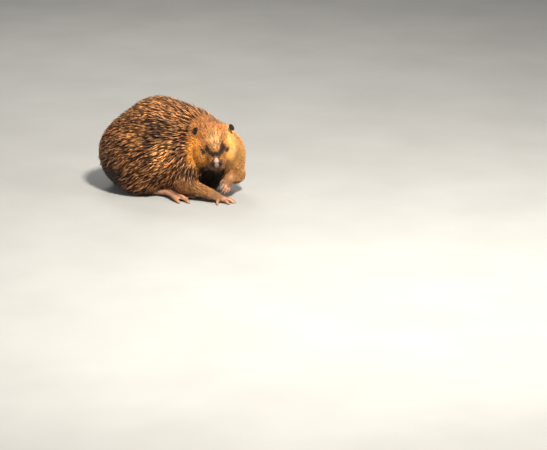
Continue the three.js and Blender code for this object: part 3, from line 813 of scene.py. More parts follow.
def tone(p, q, wh):
    """The coat's colour, linear, from the place on the body, with painted light and shade in it."""
    c = np.tile(BROWN, (len(p), 1))
    b = BODY.local(p)
    b[:, 1] = np.abs(b[:, 1])
    low = wobble(p, 190, 1.3)
    c = over(c, srgb(104, 66, 44), step(-0.2, 0.8, low) * 0.6)
    c = over(c, srgb(146, 98, 62), step(0.1, -0.9, low) * 0.6)
    # painted light: paler along the top of the back and on the flank; painted shade: darker in the folds and low down
    # where the body turns under
    c = over(c, srgb(158, 108, 72), step(215, 300, p[:, 2]) * 0.6)
    c = over(c, srgb(66, 40, 28), step(90, 14, p[:, 2]) * 0.7)
    # painted shade in the fold between the flank and the shoulder, on both sides
    c = over(c, UMBER, ball(b, (57, 88, 236), 70, 20) * 0.8)
    # painted shade under the haunch, on both sides
    c = over(c, UMBER, ball(b, (-94, 98, 88), 72, 12) * 0.7)
    # painted shade on the rear of the rump, low down
    c = over(c, UMBER, step(-110, -200, p[:, 0]) * step(200, 90, p[:, 2]) * 0.85)
    # painted light: a lit strip on the flank behind the shoulder
    lit_strip = step(-58, -38, p[:, 0]) * step(26, 6, p[:, 0]) * step(96, 130, p[:, 2]) * step(232, 200, p[:, 2]) * step(40, 0, p[:, 1])
    c = over(c, srgb(222, 162, 110), lit_strip * 0.75)
    # painted highlights on the top of the haunch, on both sides
    c = over(c, srgb(212, 152, 102), ball(p, (-98, -20, 206), 74, 24) * 0.6)
    c = over(c, srgb(190, 134, 88), ball(b, (-20, 108, 214), 50, 10) * 0.55)
    # painted light on the same strip, on both sides
    c = over(c, srgb(192, 138, 92), ball(b, (76, 118, 158), 46, 8) * 0.6)
    c = over(c, LEG, step(78, 40, p[:, 2]) * step(150, 205, p[:, 0]) * (1 - wh) * 0.85)
    # the head
    h = np.tile(srgb(178, 112, 60), (len(p), 1))
    h = over(h, srgb(198, 122, 62), blob(q, (-36, 0, 46), (44, 66, 40)) * 0.7)
    # painted light on the top of the brow, where the light falls
    h = over(h, BROW_LIGHT, blob(q, (12, 0, 48), (58, 36, 36)) * 0.7)
    h = over(h, GOLD, sides(q, (10, 60, -10), (66, 44, 56)))
    h = over(h, GOLD, sides(q, (38, 36, -16), (34, 24, 30)) * 0.9)
    h = over(h, srgb(146, 86, 46), sides(q, (30, 54, 16), (16, 12, 12)) * 0.5)
    # painted shade on the lower muzzle and under the jaw, darkest underneath
    h = over(h, srgb(138, 98, 66), step(54, 74, q[:, 0]) * step(10, -14, q[:, 2]) * 0.85)
    h = over(h, JAW_SHADE, step(-16, -36, q[:, 2]) * step(34, 62, q[:, 0]) * 0.9)
    h = over(h, srgb(56, 36, 28), step(-44, -60, q[:, 2]) * 0.9)
    # painted shade: a dark V from the top of the muzzle to both eyes and up the brows, in the grooves of the eye
    # sockets; painted light: a pale wedge between its arms
    m = np.stack([q[:, 0], np.abs(q[:, 1]), q[:, 2]], 1)
    rag = 1 + 0.55 * wobble(q * np.array((0.4, 1, 0.6), F), 6.5, 4.4)
    h = over(h, EYE_GROOVE_SHADE, step(15, 3, cone((68, 3, 18), (42, 27, 28), 1.0, 1.0)(m) * rag) * 0.95)
    h = over(h, EYE_GROOVE_SHADE, step(11, 2, cone((50, 21, 31), (10, 25, 50), 1.0, 1.0)(q) * rag) * 0.9)
    h = over(h, EYE_GROOVE_SHADE, step(9, 2, cone((48, -24, 30), (22, -28, 44), 1.0, 1.0)(q) * rag) * 0.6)
    h = over(h, EYE_GROOVE_SHADE, blob(q, (66, 0, 21), (16, 14, 18)) * 0.9)
    h = over(h, srgb(224, 184, 150), blob(q, (26, 0, 46), (32, 17, 26)) * 0.75)
    st = wobble(q * np.array((0.22, 1, 0.3), F), 8.5, 3.7)
    st = step(0.25, 0.75, st) * blob(q, (22, 0, 46), (46, 40, 34))
    h = over(h, srgb(112, 64, 38), st * 0.75)
    # painted highlight on the bridge above the nose pad
    h = over(h, srgb(190, 150, 128), blob(q, (74, 0, 14), (10, 10, 10)) * 0.8)
    c = c + (h - c) * wh[:, None]
    # golden plush down the left side of the face, the neck and the shoulder
    pl = plush_at(p) * (1 - step(15, 6, cone((60, 12, 20), (30, 44, 24), 1.0, 1.0)(q)) * wh)
    pl = pl * (1 - step(50, 66, q[:, 0]) * wh)
    c = over(c, PLUSH, pl)
    # painted shade on the low outer edge of the plush
    c = over(c, srgb(138, 90, 58), step(230, 258, p[:, 0] - 0.25 * (p[:, 2] - 90)) * step(110, 60, p[:, 2]) * 0.7)
    # the throat and the breast are in the shade and dark
    dark = srgb(30, 19, 15)
    thr = blob(p, (142, -78, 84), (60, 74, 66)) * step(128, 96, p[:, 2]) * step(196, 176, p[:, 0])
    c = over(c, dark, thr * (1 - arm_near(p)) * 0.96)
    c = over(c, dark, step(-34, -56, q[:, 2]) * step(60, 30, q[:, 0]) * wh * step(28, 8, q[:, 1]) * 0.9)
    # the legs and the base of the tail
    for f, a, e in ((arm_r, ELBOW_R, WRIST_R), (arm_l, ELBOW_L, WRIST_L)):
        w = step(12, 2, f(p)) * (1 - wh)
        t = np.clip(along(a, e, p), 0, 1)
        if f is arm_l:
            w = w * step(0.1, 0.7, t)
        c = c + (over(np.tile(srgb(150, 102, 68), (len(p), 1)), srgb(184, 136, 98), t) - c) * (w * 0.75)[:, None]
    c = over(c, UMBER, step(150, 215, p[:, 1]) * step(70, 30, p[:, 2]) * 0.7)
    # painted shade: the dark line of the eye in the crease of the lids, out past both its corners
    for s, e in EYES.items():
        out = unit(H.m[1] * s * 0.75 + H.m[2] * 0.66)
        f = unit(H.m[0] - out * (H.m[0] @ out))
        i = np.cross(out, f) * (1 if s < 0 else -1)
        d = f * 0.84 + i * 0.54 * (1 if i @ (H.m[1] * -s) > 0 else -1)
        e = e + out * 5.0
        k = 10 if s < 0 else 3
        c = over(c, srgb(30, 18, 14), step(4.8, 2.4, cone(e - d * k, e + d * 13, 0.4, 0.4)(p)) * 0.95)
    # painted shade in the seam where the lips meet
    m = np.stack([q[:, 0], np.abs(q[:, 1]), q[:, 2]], 1)
    line = np.full(len(p), 99, F)
    near = (wh > 0.5) & (q[:, 0] > 40) & (q[:, 2] < -8)
    if near.any():
        line[near] = np.min([cone(g, e, 1, 1)(m[near]) for g, e in zip(MOUTH, MOUTH[1:])], 0)
    c = over(c, srgb(26, 16, 13), step(3.6, 1.4, line) * 0.92)
    c = c * np.stack([np.ones(len(p), F), 0.87 + 0.06 * wh, 0.66 + 0.1 * pl], 1)
    return c * (1 + 0.1 * wobble(p, 47, 2.2))[:, None]


def arm_near(p):
    return step(14, 3, np.minimum(arm_r(p), arm_l(p)))


# ------------------------------------------------------------------ the materials
def coat_material():
    n = Nodes("coat_fur")
    base = n.attr("tone")
    fine = n.noise(900, 3, 0.6)
    broad = n.noise(38, 3, 0.5)
    c = n.mix(base, n.ramp(fine, [(0.3, (0.62, 0.58, 0.55)), (0.7, (1.2, 1.16, 1.1))]), 0.75, "MULTIPLY")
    c = n.mix(c, n.ramp(broad, [(0.3, (0.84, 0.82, 0.8)), (0.7, (1.12, 1.1, 1.08))]), 0.8, "MULTIPLY")
    n.base(c)
    n.rough(n.ramp(fine, [(0.2, (0.38,) * 3), (0.8, (0.6,) * 3)]))
    n.set(Specular_IOR_Level=0.3)
    n.set(Sheen_Weight=0.05, Sheen_Roughness=0.4)
    n.bsdf.inputs["Sheen Tint"].default_value = (1.0, 0.82, 0.62, 1)
    n.normal(n.bump(fine, 0.35, 0.0004))
    return n.mat


def skin_material():
    n = Nodes("skin")
    tone_c = n.attr("tone")
    bare = n.attr("bare", "Fac")
    fur = n.noise(420, 4, 0.6)
    coat_c = n.mix(tone_c, n.ramp(fur, [(0.3, (0.6, 0.58, 0.56)), (0.7, (1.15, 1.12, 1.1))]), 0.9, "MULTIPLY")
    mott = n.noise(120, 5, 0.6)
    paw = n.ramp(mott, [(0.25, (0.62, 0.58, 0.56)), (0.5, (0.95, 0.93, 0.92)), (0.75, (1.3, 1.26, 1.24))])
    cell = n.voronoi(1150)
    paw = n.mix(paw, n.ramp(cell, [(0.0, (0.74, 0.68, 0.66)), (0.14, (1, 1, 1))]), 0.7, "MULTIPLY")
    n.base(n.mix(coat_c, n.mix(tone_c, paw, 1.0, "MULTIPLY"), bare))
    n.rough(n.ramp(mott, [(0.2, (0.46,) * 3), (0.8, (0.62,) * 3)]))
    n.set(Specular_IOR_Level=0.4)
    ridge = n.ramp(cell, [(0.0, (0, 0, 0)), (0.22, (1, 1, 1))])
    b1 = n.bump(ridge, 0.4, 0.0003)
    b2 = n.bump(n.noise(260, 5, 0.65), 0.5, 0.0012, b1)
    n.normal(b2)
    return n.mat


def nose_material():
    n = Nodes("nose_pad")
    cell = n.voronoi(950)
    mott = n.noise(160, 4, 0.6)
    c = n.ramp(mott, [(0.3, tuple(srgb(52, 38, 36))), (0.7, tuple(srgb(104, 80, 74)))])
    c = n.mix(n.attr("tone"), c, 0.1)
    c = n.mix(c, n.ramp(cell, [(0, (0.5, 0.46, 0.45)), (0.25, (1, 1, 1))]), 0.8, "MULTIPLY")
    n.base(c)
    n.rough(n.ramp(mott, [(0.2, (0.42,) * 3), (0.8, (0.58,) * 3)]))
    n.set(Specular_IOR_Level=0.42)
    n.normal(n.bump(n.ramp(cell, [(0, (0, 0, 0)), (0.3, (1, 1, 1))]), 0.4, 0.0003))
    return n.mat


def eye_material():
    n = Nodes("eye")
    m = n.noise(500, 4, 0.6)
    n.base(n.ramp(m, [(0.3, tuple(srgb(14, 9, 8))), (0.75, tuple(srgb(44, 26, 18)))]))
    n.rough(n.ramp(m, [(0.2, (0.04,) * 3), (0.8, (0.09,) * 3)]))
    n.set(Specular_IOR_Level=0.6)
    n.set(Coat_Weight=0.6, Coat_Roughness=0.03)
    return n.mat


def ear_material():
    n = Nodes("ear_leather")
    m = n.noise(300, 4, 0.6)
    c = n.ramp(m, [(0.25, tuple(srgb(12, 8, 7))), (0.75, tuple(srgb(30, 20, 17)))])
    c = n.mix(c, n.attr("tone"), 0.4)
    n.base(c)
    n.set(Specular_IOR_Level=0.25)
    n.rough(n.ramp(m, [(0.2, (0.5,) * 3), (0.8, (0.72,) * 3)]))
    n.normal(n.bump(n.noise(700, 4, 0.6), 0.5, 0.0006))
    return n.mat


def claw_material():
    n = Nodes("claw_horn")
    grow = n.noise(90, 5, 0.55, stretch=(1, 1, 4))
    base = n.attr("tone")
    c = n.mix(base, n.ramp(grow, [(0.3, (0.7, 0.66, 0.62)), (0.7, (1.12, 1.1, 1.06))]), 0.85, "MULTIPLY")
    n.base(c)
    n.rough(n.ramp(grow, [(0.2, (0.28,) * 3), (0.8, (0.46,) * 3)]))
    n.normal(n.bump(n.noise(800, 3, 0.5), 0.3, 0.0003))
    return n.mat


def tail_material():
    n = Nodes("tail_scales")
    tonec = n.attr("tone")
    m = n.noise(140, 5, 0.6)
    c = n.mix(tonec, n.ramp(m, [(0.3, (0.72, 0.7, 0.68)), (0.7, (1.2, 1.18, 1.14))]), 0.9, "MULTIPLY")
    n.base(c)
    n.rough(n.ramp(m, [(0.2, (0.4,) * 3), (0.8, (0.62,) * 3)]))
    n.set(Specular_IOR_Level=0.45)
    n.normal(n.bump(n.noise(900, 4, 0.6), 0.45, 0.0005))
    return n.mat


MATS = {
    "coat": coat_material(),
    "skin": skin_material(),
    "nose": nose_material(),
    "eye": eye_material(),
    "ear": ear_material(),
    "claw": claw_material(),
    "tail": tail_material(),
}

# ------------------------------------------------------------------ the skin
import time

T0 = time.time()


def lap(what):
    print("%6.1f s  %s" % (time.time() - T0, what), flush=True)


g = 1.0
xs = axis(-256, (-62, 4 * g), (70, 2.7 * g), (236, 1.9 * g), (268, 4 * g))
ys = axis(-186, (-20, 1.9 * g), (258, 4 * g))
zs = axis(-1.2, (32, 1.6 * g), (104, 3 * g), (285, 1.9 * g), (336, 4 * g))
SKIN_V, SKIN_Q = surface(skin_field, xs, ys, zs, reach=17)
lap("skin %d verts %d quads" % (len(SKIN_V), len(SKIN_Q)))


def paint_skin(V):
    depth, length, wh, q = lay(V)
    # painted shade: the skin under the coat far darker than the coat's tone, less so on the head and the plush
    c = tone(V, q, wh) * (0.2 + 0.45 * np.maximum(wh, plush_at(V)))[:, None]
    env = envelope(V) + depth
    ft = feet_field(V)
    bare = step(3.0, -1.5, ft - env)
    # round the mouth, the nose and the eyes the skin shows
    lips = sides(q, (80, 6, -34), (14, 16, 12))
    c = over(c, srgb(66, 44, 38), lips * 0.9)
    near = step(24, 18, np.sqrt(((q - np.array((78, 0, -2), F)) ** 2).sum(1)))
    c = over(c, srgb(70, 48, 40), near * 0.85)
    for s, e in EYES.items():
        rim = step(13.0, 9.0, np.sqrt(((V - e.astype(F)) ** 2).sum(1)))
        c = over(c, srgb(30, 19, 16), rim)
    paw = np.tile(srgb(168, 122, 94), (len(V), 1))
    paw = over(paw, srgb(202, 154, 122), step(0.1, 0.9, wobble(V, 31, 4.0)) * 0.6)
    paw = over(paw, srgb(112, 80, 66), step(24, 40, V[:, 2]) * step(150, 100, V[:, 0]) * 0.7)
    wrist = np.minimum(((V - np.array(WRIST_R, F)) ** 2).sum(1), ((V - np.array(WRIST_L, F)) ** 2).sum(1))
    paw = over(paw, srgb(126, 86, 60), step(37, 25, np.sqrt(wrist)) * 0.85)
    # painted shade in the creases between the digits
    paw = paw * (1 - 0.62 * crease(V))[:, None]
    c = over(c, paw, bare)
    return c, bare


c, bare = paint_skin(SKIN_V)
skin = make("skin", SKIN_V, SKIN_Q, MATS["skin"], "coat", colors=c, extra={"bare": bare})
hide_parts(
    "head", "neck", "trunk", "haunch_r", "haunch_l", "upper_arm_r", "upper_arm_l", "forearm_r", "forearm_l",
    "tail_base", "hindfoot_r", "hindfoot_l", "forefoot_r", "forefoot_l",
)
lap("skin object")

# ------------------------------------------------------------------ floor, light, camera
def plane(name, size, z, mat):
    me = bpy.data.meshes.new(name)
    s = size
    me.from_pydata([(-s, -s, z), (s, -s, z), (s, s, z), (-s, s, z)], [], [(0, 1, 2, 3)])
    o = bpy.data.objects.new(name, me)
    bpy.context.scene.collection.objects.link(o)
    me.materials.append(mat)
    return o


fl = Nodes("floor")
fl.base(fl.ramp(fl.noise(3, 3, 0.5), [(0.3, (0.34, 0.335, 0.32)), (0.7, (0.37, 0.365, 0.35))]))
fl.set(Roughness=0.85, Specular_IOR_Level=0.2)
plane("floor", 30, 0.0, fl.mat)

world = bpy.data.worlds.new("studio")
bpy.context.scene.world = world
world.use_nodes = True
world.node_tree.nodes["Background"].inputs[0].default_value = (0.94, 0.95, 1.0, 1)
world.node_tree.nodes["Background"].inputs[1].default_value = 0.26


def lamp(name, at, target, size, power, colour):
    d = bpy.data.lights.new(name, "AREA")
    d.shape, d.size, d.energy, d.color = "DISK", size, power, colour
    o = bpy.data.objects.new(name, d)
    bpy.context.scene.collection.objects.link(o)
    at, target = vec(*at), vec(*target)
    z = unit(at - target)
    x = unit(np.cross((0, 0, 1), z))
    y = np.cross(z, x)
    m = Matrix([(*r, 0) for r in np.array([x, y, z]).T.tolist()] + [(0, 0, 0, 1)])
    m.translation = at.tolist()
    o.matrix_world = m
    return o


lamp("key", (0.75, -2.2, 2.8), (0.03, -0.05, 0.12), 0.5, 240, (1.0, 0.96, 0.88))
lamp("side", (2.8, -1.3, 1.5), (0.2, -0.05, 0.12), 1.2, 40, (1.0, 0.96, 0.9))
lamp("fill", (-2.4, -2.2, 1.4), (0, 0, 0.12), 2.2, 13, (1.0, 0.98, 0.95))
lamp("rim", (-0.4, 2.2, 2.6), (0, 0, 0.15), 1.4, 46, (1.0, 0.97, 0.92))

cam = bpy.data.cameras.new("camera")
cam.lens, cam.sensor_width, cam.sensor_fit = 169.2, 36, "HORIZONTAL"
cam.clip_start, cam.clip_end = 0.1, 200
co = bpy.data.objects.new("camera", cam)
bpy.context.scene.collection.objects.link(co)
YAW, TILT = 0.0412283, 0.2914851
fwd = vec(math.sin(YAW) * math.cos(TILT), math.cos(YAW) * math.cos(TILT), -math.sin(TILT))
right = vec(math.cos(YAW), -math.sin(YAW), 0)
up = np.cross(right, fwd)
m = Matrix([(right[i], up[i], -fwd[i], 0) for i in range(3)] + [(0, 0, 0, 1)])
m.translation = ((vec(0, -8673.33, 2479.37) + OFF) / 1000).tolist()
co.matrix_world = m
bpy.context.scene.camera = co
bpy.context.scene.view_settings.view_transform = "Standard"
# ------------------------------------------------------------------ the coat
R = np.random.default_rng(20)


def eye_axes(s):
    """Along the slit of the lids, across it, and out of the head."""
    out = unit(H.m[1] * s * 0.75 + H.m[2] * 0.66)
    fwd = unit(H.m[0] - out * (H.m[0] @ out))
    inward = unit(np.cross(out, fwd) * (1 if s < 0 else -1))
    if inward @ (H.m[1] * -s) < 0:
        inward = -inward
    a = 33 * DEG
    slit = fwd * math.cos(a) + inward * math.sin(a)
    return slit, np.cross(out, slit), out


NOSE_BOX = (HEAD.world((80, 0, -0.5)), (H.m[0], H.m[1], H.m[2]))


def nose_f(p, q):
    """The pad, its wings, the comma of each nostril and the groove down to the lip. q is local, from the box's middle."""
    x, y, z = q[:, 0], q[:, 1], q[:, 2]
    a = np.abs(y)
    m = np.stack([x, a, z], 1)

    def el(c, r):
        d = (m - np.array(c, F)) / np.array(r, F)
        k0 = np.sqrt((d * d).sum(1))
        d = d / np.array(r, F)
        k1 = np.sqrt((d * d).sum(1)) + F(1e-6)
        return k0 * (k0 - 1) / k1

    d = el((-2.0, 0, -6), (12, 15, 17))
    d = smin(d, el((-1.5, 11.5, -5.0), (8.6, 7.6, 11.0)), 4)
    d = smin(d, cone((-4, 0, 8), (-15, 0, 13), 7.6, 4.4)(q), 5)
    d = smax(d, -np.minimum(cone(*NOSTRIL[0])(m), cone(*NOSTRIL[1])(m)), 1.2)
    d = smax(d, -cone((11.2, 0, -7), (7.5, 0, -21), 0.55, 1.3)(m), 0.8)
    ripple = 0.16 * np.sin(x * 2.4 + np.sin(z * 1.9) * 1.2) * np.sin(y * 2.2 + z * 0.7) * np.sin(z * 2.6 + 0.5)
    return d + ripple.astype(F)


NOSTRIL = (((5.2, 9.6, 4.0), (7.0, 14.0, -5.0), 1.7, 3.6), ((7.0, 14.0, -5.0), (8.4, 9.4, -15.0), 3.6, 1.8))


def lie_at(p):
    """The way the hair lies at p, not yet laid on the surface."""
    fs, ds = [], []
    for shapes, turn in ((BODY_SHAPES, None), (ARM_SHAPES, None), (HEAD_SHAPES, HEAD)):
        for _, f, d in shapes:
            fs.append(f(p))
            ds.append(unit(d if turn is None else turn.turn(d)))
    v = np.stack(fs)
    w = np.exp(-(v - v.min(0)) / F(12))
    d = w.T @ np.array(ds, F)
    return d / (np.sqrt((d * d).sum(1))[:, None] + F(1e-6))


def swirl(p, d, n):
    """The lie turned a little, in drifts a hand wide and in smaller ones."""
    a = 13 * wobble(p, 105, 5.1) + 9 * wobble(p, 38, 0.7)
    a = (a * F(DEG))[:, None]
    return d * np.cos(a) + np.cross(n, d) * np.sin(a)


def laid(d, n):
    t = d - n * (d * n).sum(1)[:, None]
    return t / (np.sqrt((t * t).sum(1))[:, None] + F(1e-6))


def coat_base(p):
    """The skin without its small folds."""
    return envelope(p) + lay(p)[0]


def unwrap():
    """A coarse skin with its unwrap, to place the roots on."""
    V, Q = surface(
        skin_field, axis(-256, (60, 8), (238, 5.5), (268, 8)), axis(-188, (-20, 5.5), (258, 8)),
        axis(-3, (30, 5.5), (105, 8), (286, 5.5), (338, 8)), relax=1,
    )
    me = bpy.data.meshes.new("unwrap")
    me.from_pydata(V.tolist(), [], Q.tolist())
    o = bpy.data.objects.new("unwrap", me)
    bpy.context.scene.collection.objects.link(o)
    bpy.context.view_layer.objects.active = o
    o.select_set(True)
    bpy.ops.object.mode_set(mode="EDIT")
    bpy.ops.mesh.select_all(action="SELECT")
    bpy.ops.uv.smart_project(angle_limit=66 * DEG, island_margin=0.004)
    bpy.ops.object.mode_set(mode="OBJECT")
    n = len(me.loops)
    uv = np.empty(n * 2, F)
    me.uv_layers.active.data.foreach_get("uv", uv)
    li = np.empty(n, np.int32)
    me.loops.foreach_get("vertex_index", li)
    co = np.empty(len(me.vertices) * 3, F)
    me.vertices.foreach_get("co", co)
    uv, li, co = uv.reshape(-1, 4, 2), li.reshape(-1, 4), co.reshape(-1, 3)
    bpy.data.objects.remove(o)
    bpy.data.meshes.remove(me)
    tri = np.concatenate([co[li[:, [0, 1, 2]]], co[li[:, [0, 2, 3]]]])
    tuv = np.concatenate([uv[:, [0, 1, 2]], uv[:, [0, 2, 3]]])
    return tri, tuv


TRI, TUV = unwrap()
TRI_AREA = np.sqrt((np.cross(TRI[:, 1] - TRI[:, 0], TRI[:, 2] - TRI[:, 0]) ** 2).sum(1)) / 2
lap("unwrap: %d triangles, %.3f m2" % (len(TRI), TRI_AREA.sum() / 1e6))


def scatter(weight, cell, per=5.0):
    """Roots on the unwrapped skin, about one to each cell, where weight isn't 0."""
    w = TRI_AREA * weight
    total = w.sum()
    if total <= 0:
        return np.zeros((0, 3), F), np.zeros((0, 2), F)
    n = int(total / (cell * cell) * per)
    f = R.choice(len(TRI), n, p=w / total)
    a, b = R.random(n, F), R.random(n, F)
    swap = a + b > 1
    a[swap], b[swap] = 1 - a[swap], 1 - b[swap]
    p = TRI[f, 0] + (TRI[f, 1] - TRI[f, 0]) * a[:, None] + (TRI[f, 2] - TRI[f, 0]) * b[:, None]
    uv = TUV[f, 0] + (TUV[f, 1] - TUV[f, 0]) * a[:, None] + (TUV[f, 2] - TUV[f, 0]) * b[:, None]
    key = np.floor(p / F(cell)).astype(np.int64) + 4096
    key = (key[:, 0] * 8192 + key[:, 1]) * 8192 + key[:, 2]
    _, first = np.unique(key, return_index=True)
    first = first[R.permutation(len(first))]
    return p[first].astype(F), uv[first].astype(F)


def grow(p, uv, strands, rings, length, spread, width, rise, light, root_shade=0.4, tight=0.2, tan=0.3, field=None, deep=None, dye=None):
    """Tufts at the roots p: each a few tapered solid strands that lie along the coat and close to a point.
    rise: heights of the rings, as shares of the coat's depth. light: a tone for each tuft."""
    N, K, M = len(p), rings, strands
    skin_f = field or coat_base
    g = gradient(skin_f, p)
    for _ in range(2):
        p = p - g * skin_f(p)[:, None]
    depth, base_len, wh, q = lay(p)
    if deep:
        depth, base_len = np.full(N, deep[0], F), np.full(N, deep[1], F)
    outer = field or envelope
    n = gradient(outer, p)
    L = length * base_len
    cen, tan_, nor = [], [], []
    d = swirl(p, lie_at(p), n)
    d = laid(d, n)
    twist = R.normal(0, 8, N).astype(F)[:, None] * F(DEG)
    d = d * np.cos(twist) + np.cross(n, d) * np.sin(twist)
    x = p.copy()
    for k in range(K + 1):
        if k:
            x = x + d * (L / K)[:, None]
        target = depth * rise[k] if field else -depth * (1 - rise[k])
        if k:
            n = gradient(outer, x)
        x = x - n * (outer(x) - target)[:, None]
        x[:, 2] = np.maximum(x[:, 2], F(0.8))
        if k:
            e = laid(swirl(x, lie_at(x), n), n)
            e = e * np.cos(twist) + np.cross(n, e) * np.sin(twist)
            d = laid(d * F(0.5) + e * F(0.5), n)
        cen.append(x.copy())
        tan_.append(d.copy())
        nor.append(n.copy())
    cen, tan_, nor = np.array(cen), np.array(tan_), np.array(nor)
    sid = np.cross(nor, tan_)
    conv = tight + (1 - tight) * (1 - np.linspace(0, 1, K + 1) ** 1.4)
    prof = np.array([0.85, 1.0, 0.72, 0.42])[:K] if K == 3 else np.array([0.9, 0.85, 0.4])[:K]
    V = np.empty((N, M, K * 3 + 1, 3), F)
    C = np.empty((N, M, K * 3 + 1, 3), F)
    U = np.empty((N, M, K * 3 + 1, 2), F)
    rgb = (tone(p, q, wh) if dye is None else np.tile(dye, (N, 1))) * light[:, None]
    # pale ends, but not where the coat is dark
    tan = (tan * step(0.03, 0.14, rgb @ np.array((0.3, 0.59, 0.11), F)))[:, None]
    # painted shade along each strand: darker toward its root, deep in the coat, a little brighter toward its end
    shade = np.linspace(0, 1, K + 1)
    shade = root_shade + (1.0 - root_shade) * np.minimum(1, shade * 1.8) + 0.3 * np.maximum(0, shade - 0.6)
    for j in range(M):
        lj = R.uniform(0.74, 1.0, N).astype(F)
        aj = (R.uniform(-1, 1, N) + (j - (M - 1) / 2) * 0.7).astype(F) * spread * F(0.75)
        cj = R.uniform(-1, 1, N).astype(F) * spread * F(1.1)
        bj = R.normal(0, 0.22, N).astype(F) * spread
        roll = R.uniform(-0.7, 0.7, N).astype(F)[:, None]
        tint = np.exp(R.normal(0, 0.22, N)).astype(F)
        warm = R.normal(0, 0.06, N).astype(F)
        col = rgb * tint[:, None] * np.stack([1 + warm, np.ones(N), 1 - warm], 1)
        for k in range(K + 1):
            if k == 0:
                c, s, nn, t = cen[0], sid[0], nor[0], tan_[0]
            else:
                f = (k * lj - (k - 1))[:, None]
                c = cen[k - 1] + (cen[k] - cen[k - 1]) * f
                s, nn, t = sid[k], nor[k], tan_[k]
            c = c + s * (aj * conv[k])[:, None] + nn * (bj * (0.3 + 0.7 * conv[k]))[:, None] + t * (cj * (1 - 0.6 * k / K))[:, None]
            if k == K:
                c[:, 2] = np.maximum(c[:, 2], F(0.5))
                V[:, j, K * 3] = c
                C[:, j, K * 3] = (col + (TAN * light[:, None] - col) * tan) * shade[k]
                U[:, j, K * 3] = uv + np.array([0.003 * (j + 0.5) / M, 0.003], F)
            else:
                w = (width * prof[k])[:, None]
                for i in range(3):
                    a = roll + F(math.pi / 2 + i * 2 * math.pi / 3)
                    v = c + s * (np.cos(a) * w) + nn * (np.sin(a) * w * F(0.7))
                    v[:, 2] = np.maximum(v[:, 2], F(0.4))
                    V[:, j, k * 3 + i] = v
                    C[:, j, k * 3 + i] = (col + (TAN * light[:, None] - col) * (tan * 0.55 if k == K - 1 else 0)) * shade[k]
                    U[:, j, k * 3 + i] = uv + np.array([0.003 * (j + 0.15 + 0.35 * i) / M, 0.003 * k / K], F)
    return V.reshape(-1, K * 3 + 1, 3), C.reshape(-1, K * 3 + 1, 3), U.reshape(-1, K * 3 + 1, 2), K


def strands_mesh(name, sets, slot="coat", mat=None):
    """One object from sets of strands."""
    vs, cs, us, quads, tris, at = [], [], [], [], [], 0
    for V, C, U, K in sets:
        m = K * 3 + 1
        base = at + np.arange(len(V))[:, None] * m
        qd = [[3 * k + i, 3 * k + (i + 1) % 3, 3 * k + 3 + (i + 1) % 3, 3 * k + 3 + i] for k in range(K - 1) for i in range(3)]
        tr = [[3 * (K - 1) + i, 3 * (K - 1) + (i + 1) % 3, 3 * K] for i in range(3)] + [[2, 1, 0]]
        quads.append((base[:, None] + np.array(qd)[None]).reshape(-1, 4))
        tris.append((base[:, None] + np.array(tr)[None]).reshape(-1, 3))
        vs.append(V.reshape(-1, 3))
        cs.append(C.reshape(-1, 3))
        us.append(U.reshape(-1, 2))
        at += len(V) * m
    q, t = np.concatenate(quads), np.concatenate(tris)
    print("  %s: %d triangles" % (name, 2 * len(q) + len(t)))
    o = make(name, np.concatenate(vs), [q, t], mat or MATS["coat"], slot, colors=np.concatenate(cs), uv=np.concatenate(us))
    return o


def take(S, m):
    return S[0][m], S[1][m], S[2][m], S[3]


def lognorm(n, s):
    return np.exp(R.normal(0, s, n)).astype(F)


# weights on the unwrapped skin
cenT = TRI.mean(1).astype(F)
depT, lenT, whT, qT = lay(cenT)
bareT = step(2.5, -1.5, feet_field(cenT) - (envelope(cenT) + depT))
okT = (1 - step(0.3, 0.7, bareT)) * (cenT[:, 2] > 3.5)
for s, e in EYES.items():
    sl, acr, out = eye_axes(s)
    r = cenT - e.astype(F)
    u, v = r @ sl.astype(F), r @ acr.astype(F)
    near = ((u - 1.0) / 7.6) ** 2 + (v / 3.6) ** 2 < 1
    okT = okT * (1 - (near & (np.sqrt((r * r).sum(1)) < 12)))
noseT = (cenT - NOSE_BOX[0].astype(F)) @ np.array(NOSE_BOX[1]).astype(F).T
okT = okT * (nose_f(cenT, noseT) > 1.2)
shortT = (lenT < 22) & ~((cenT[:, 0] > 190) & (cenT[:, 2] > 60))
wristT = np.minimum(np.sqrt(((cenT - np.array(WRIST_R, F)) ** 2).sum(1)), np.sqrt(((cenT - np.array(WRIST_L, F)) ** 2).sum(1)))
pawT = step(0.2, 0.6, bareT) * (wristT < 36) * (cenT[:, 2] > 5)
bodyT = okT * (whT < 0.5) * (~shortT)
limbT = okT * (whT < 0.5) * shortT
headT = okT * (whT >= 0.5) * (qT[:, 0] < 14)
faceT = okT * (whT >= 0.5) * (qT[:, 0] >= 14)
print("areas m2: body %.3f limb %.3f head %.3f" % tuple((TRI_AREA * w).sum() / 1e6 for w in (bodyT, limbT, headT + faceT)))


def pieces_of(name, sets, split, most=11800):
    """Several objects, each of no more than about 190000 triangles, cut across the split value of their roots. most
    is not used.
    """
    roots = np.concatenate([s[0][:, 0] for s in sets])
    v = split(roots)
    cost = np.concatenate([np.full(len(s[0]), 16 if s[3] == 3 else 10) for s in sets])
    order = np.argsort(v, kind="stable")
    cum = np.cumsum(cost[order])
    parts = max(1, int(math.ceil(cum[-1] / 190000)))
    edge = np.searchsorted(cum, cum[-1] * np.arange(1, parts) / parts)
    group = np.empty(len(v), int)
    group[order] = np.searchsorted(edge, np.arange(len(v)), side="right")
    at = 0
    cut = []
    for s in sets:
        cut.append(group[at : at + len(s[0])])
        at += len(s[0])
    for i in range(parts):
        strands_mesh("%s_%d" % (name, i + 1) if parts > 1 else name, [take(s, c == i) for s, c in zip(sets, cut)])


def along_body(p):
    return (p - np.array(BODY_AT, F)) @ B.m[0].astype(F)


def thin(p):
    """How the coat's length there compares with the longest."""
    return np.clip(lay(p)[1] / 38, 0.3, 1.05).astype(F)


def even(light, p):
    """Tones of tufts: less varied, and lighter, in the plush."""
    w = plush_at(p)
    return light ** (1 - 0.88 * w).astype(F)


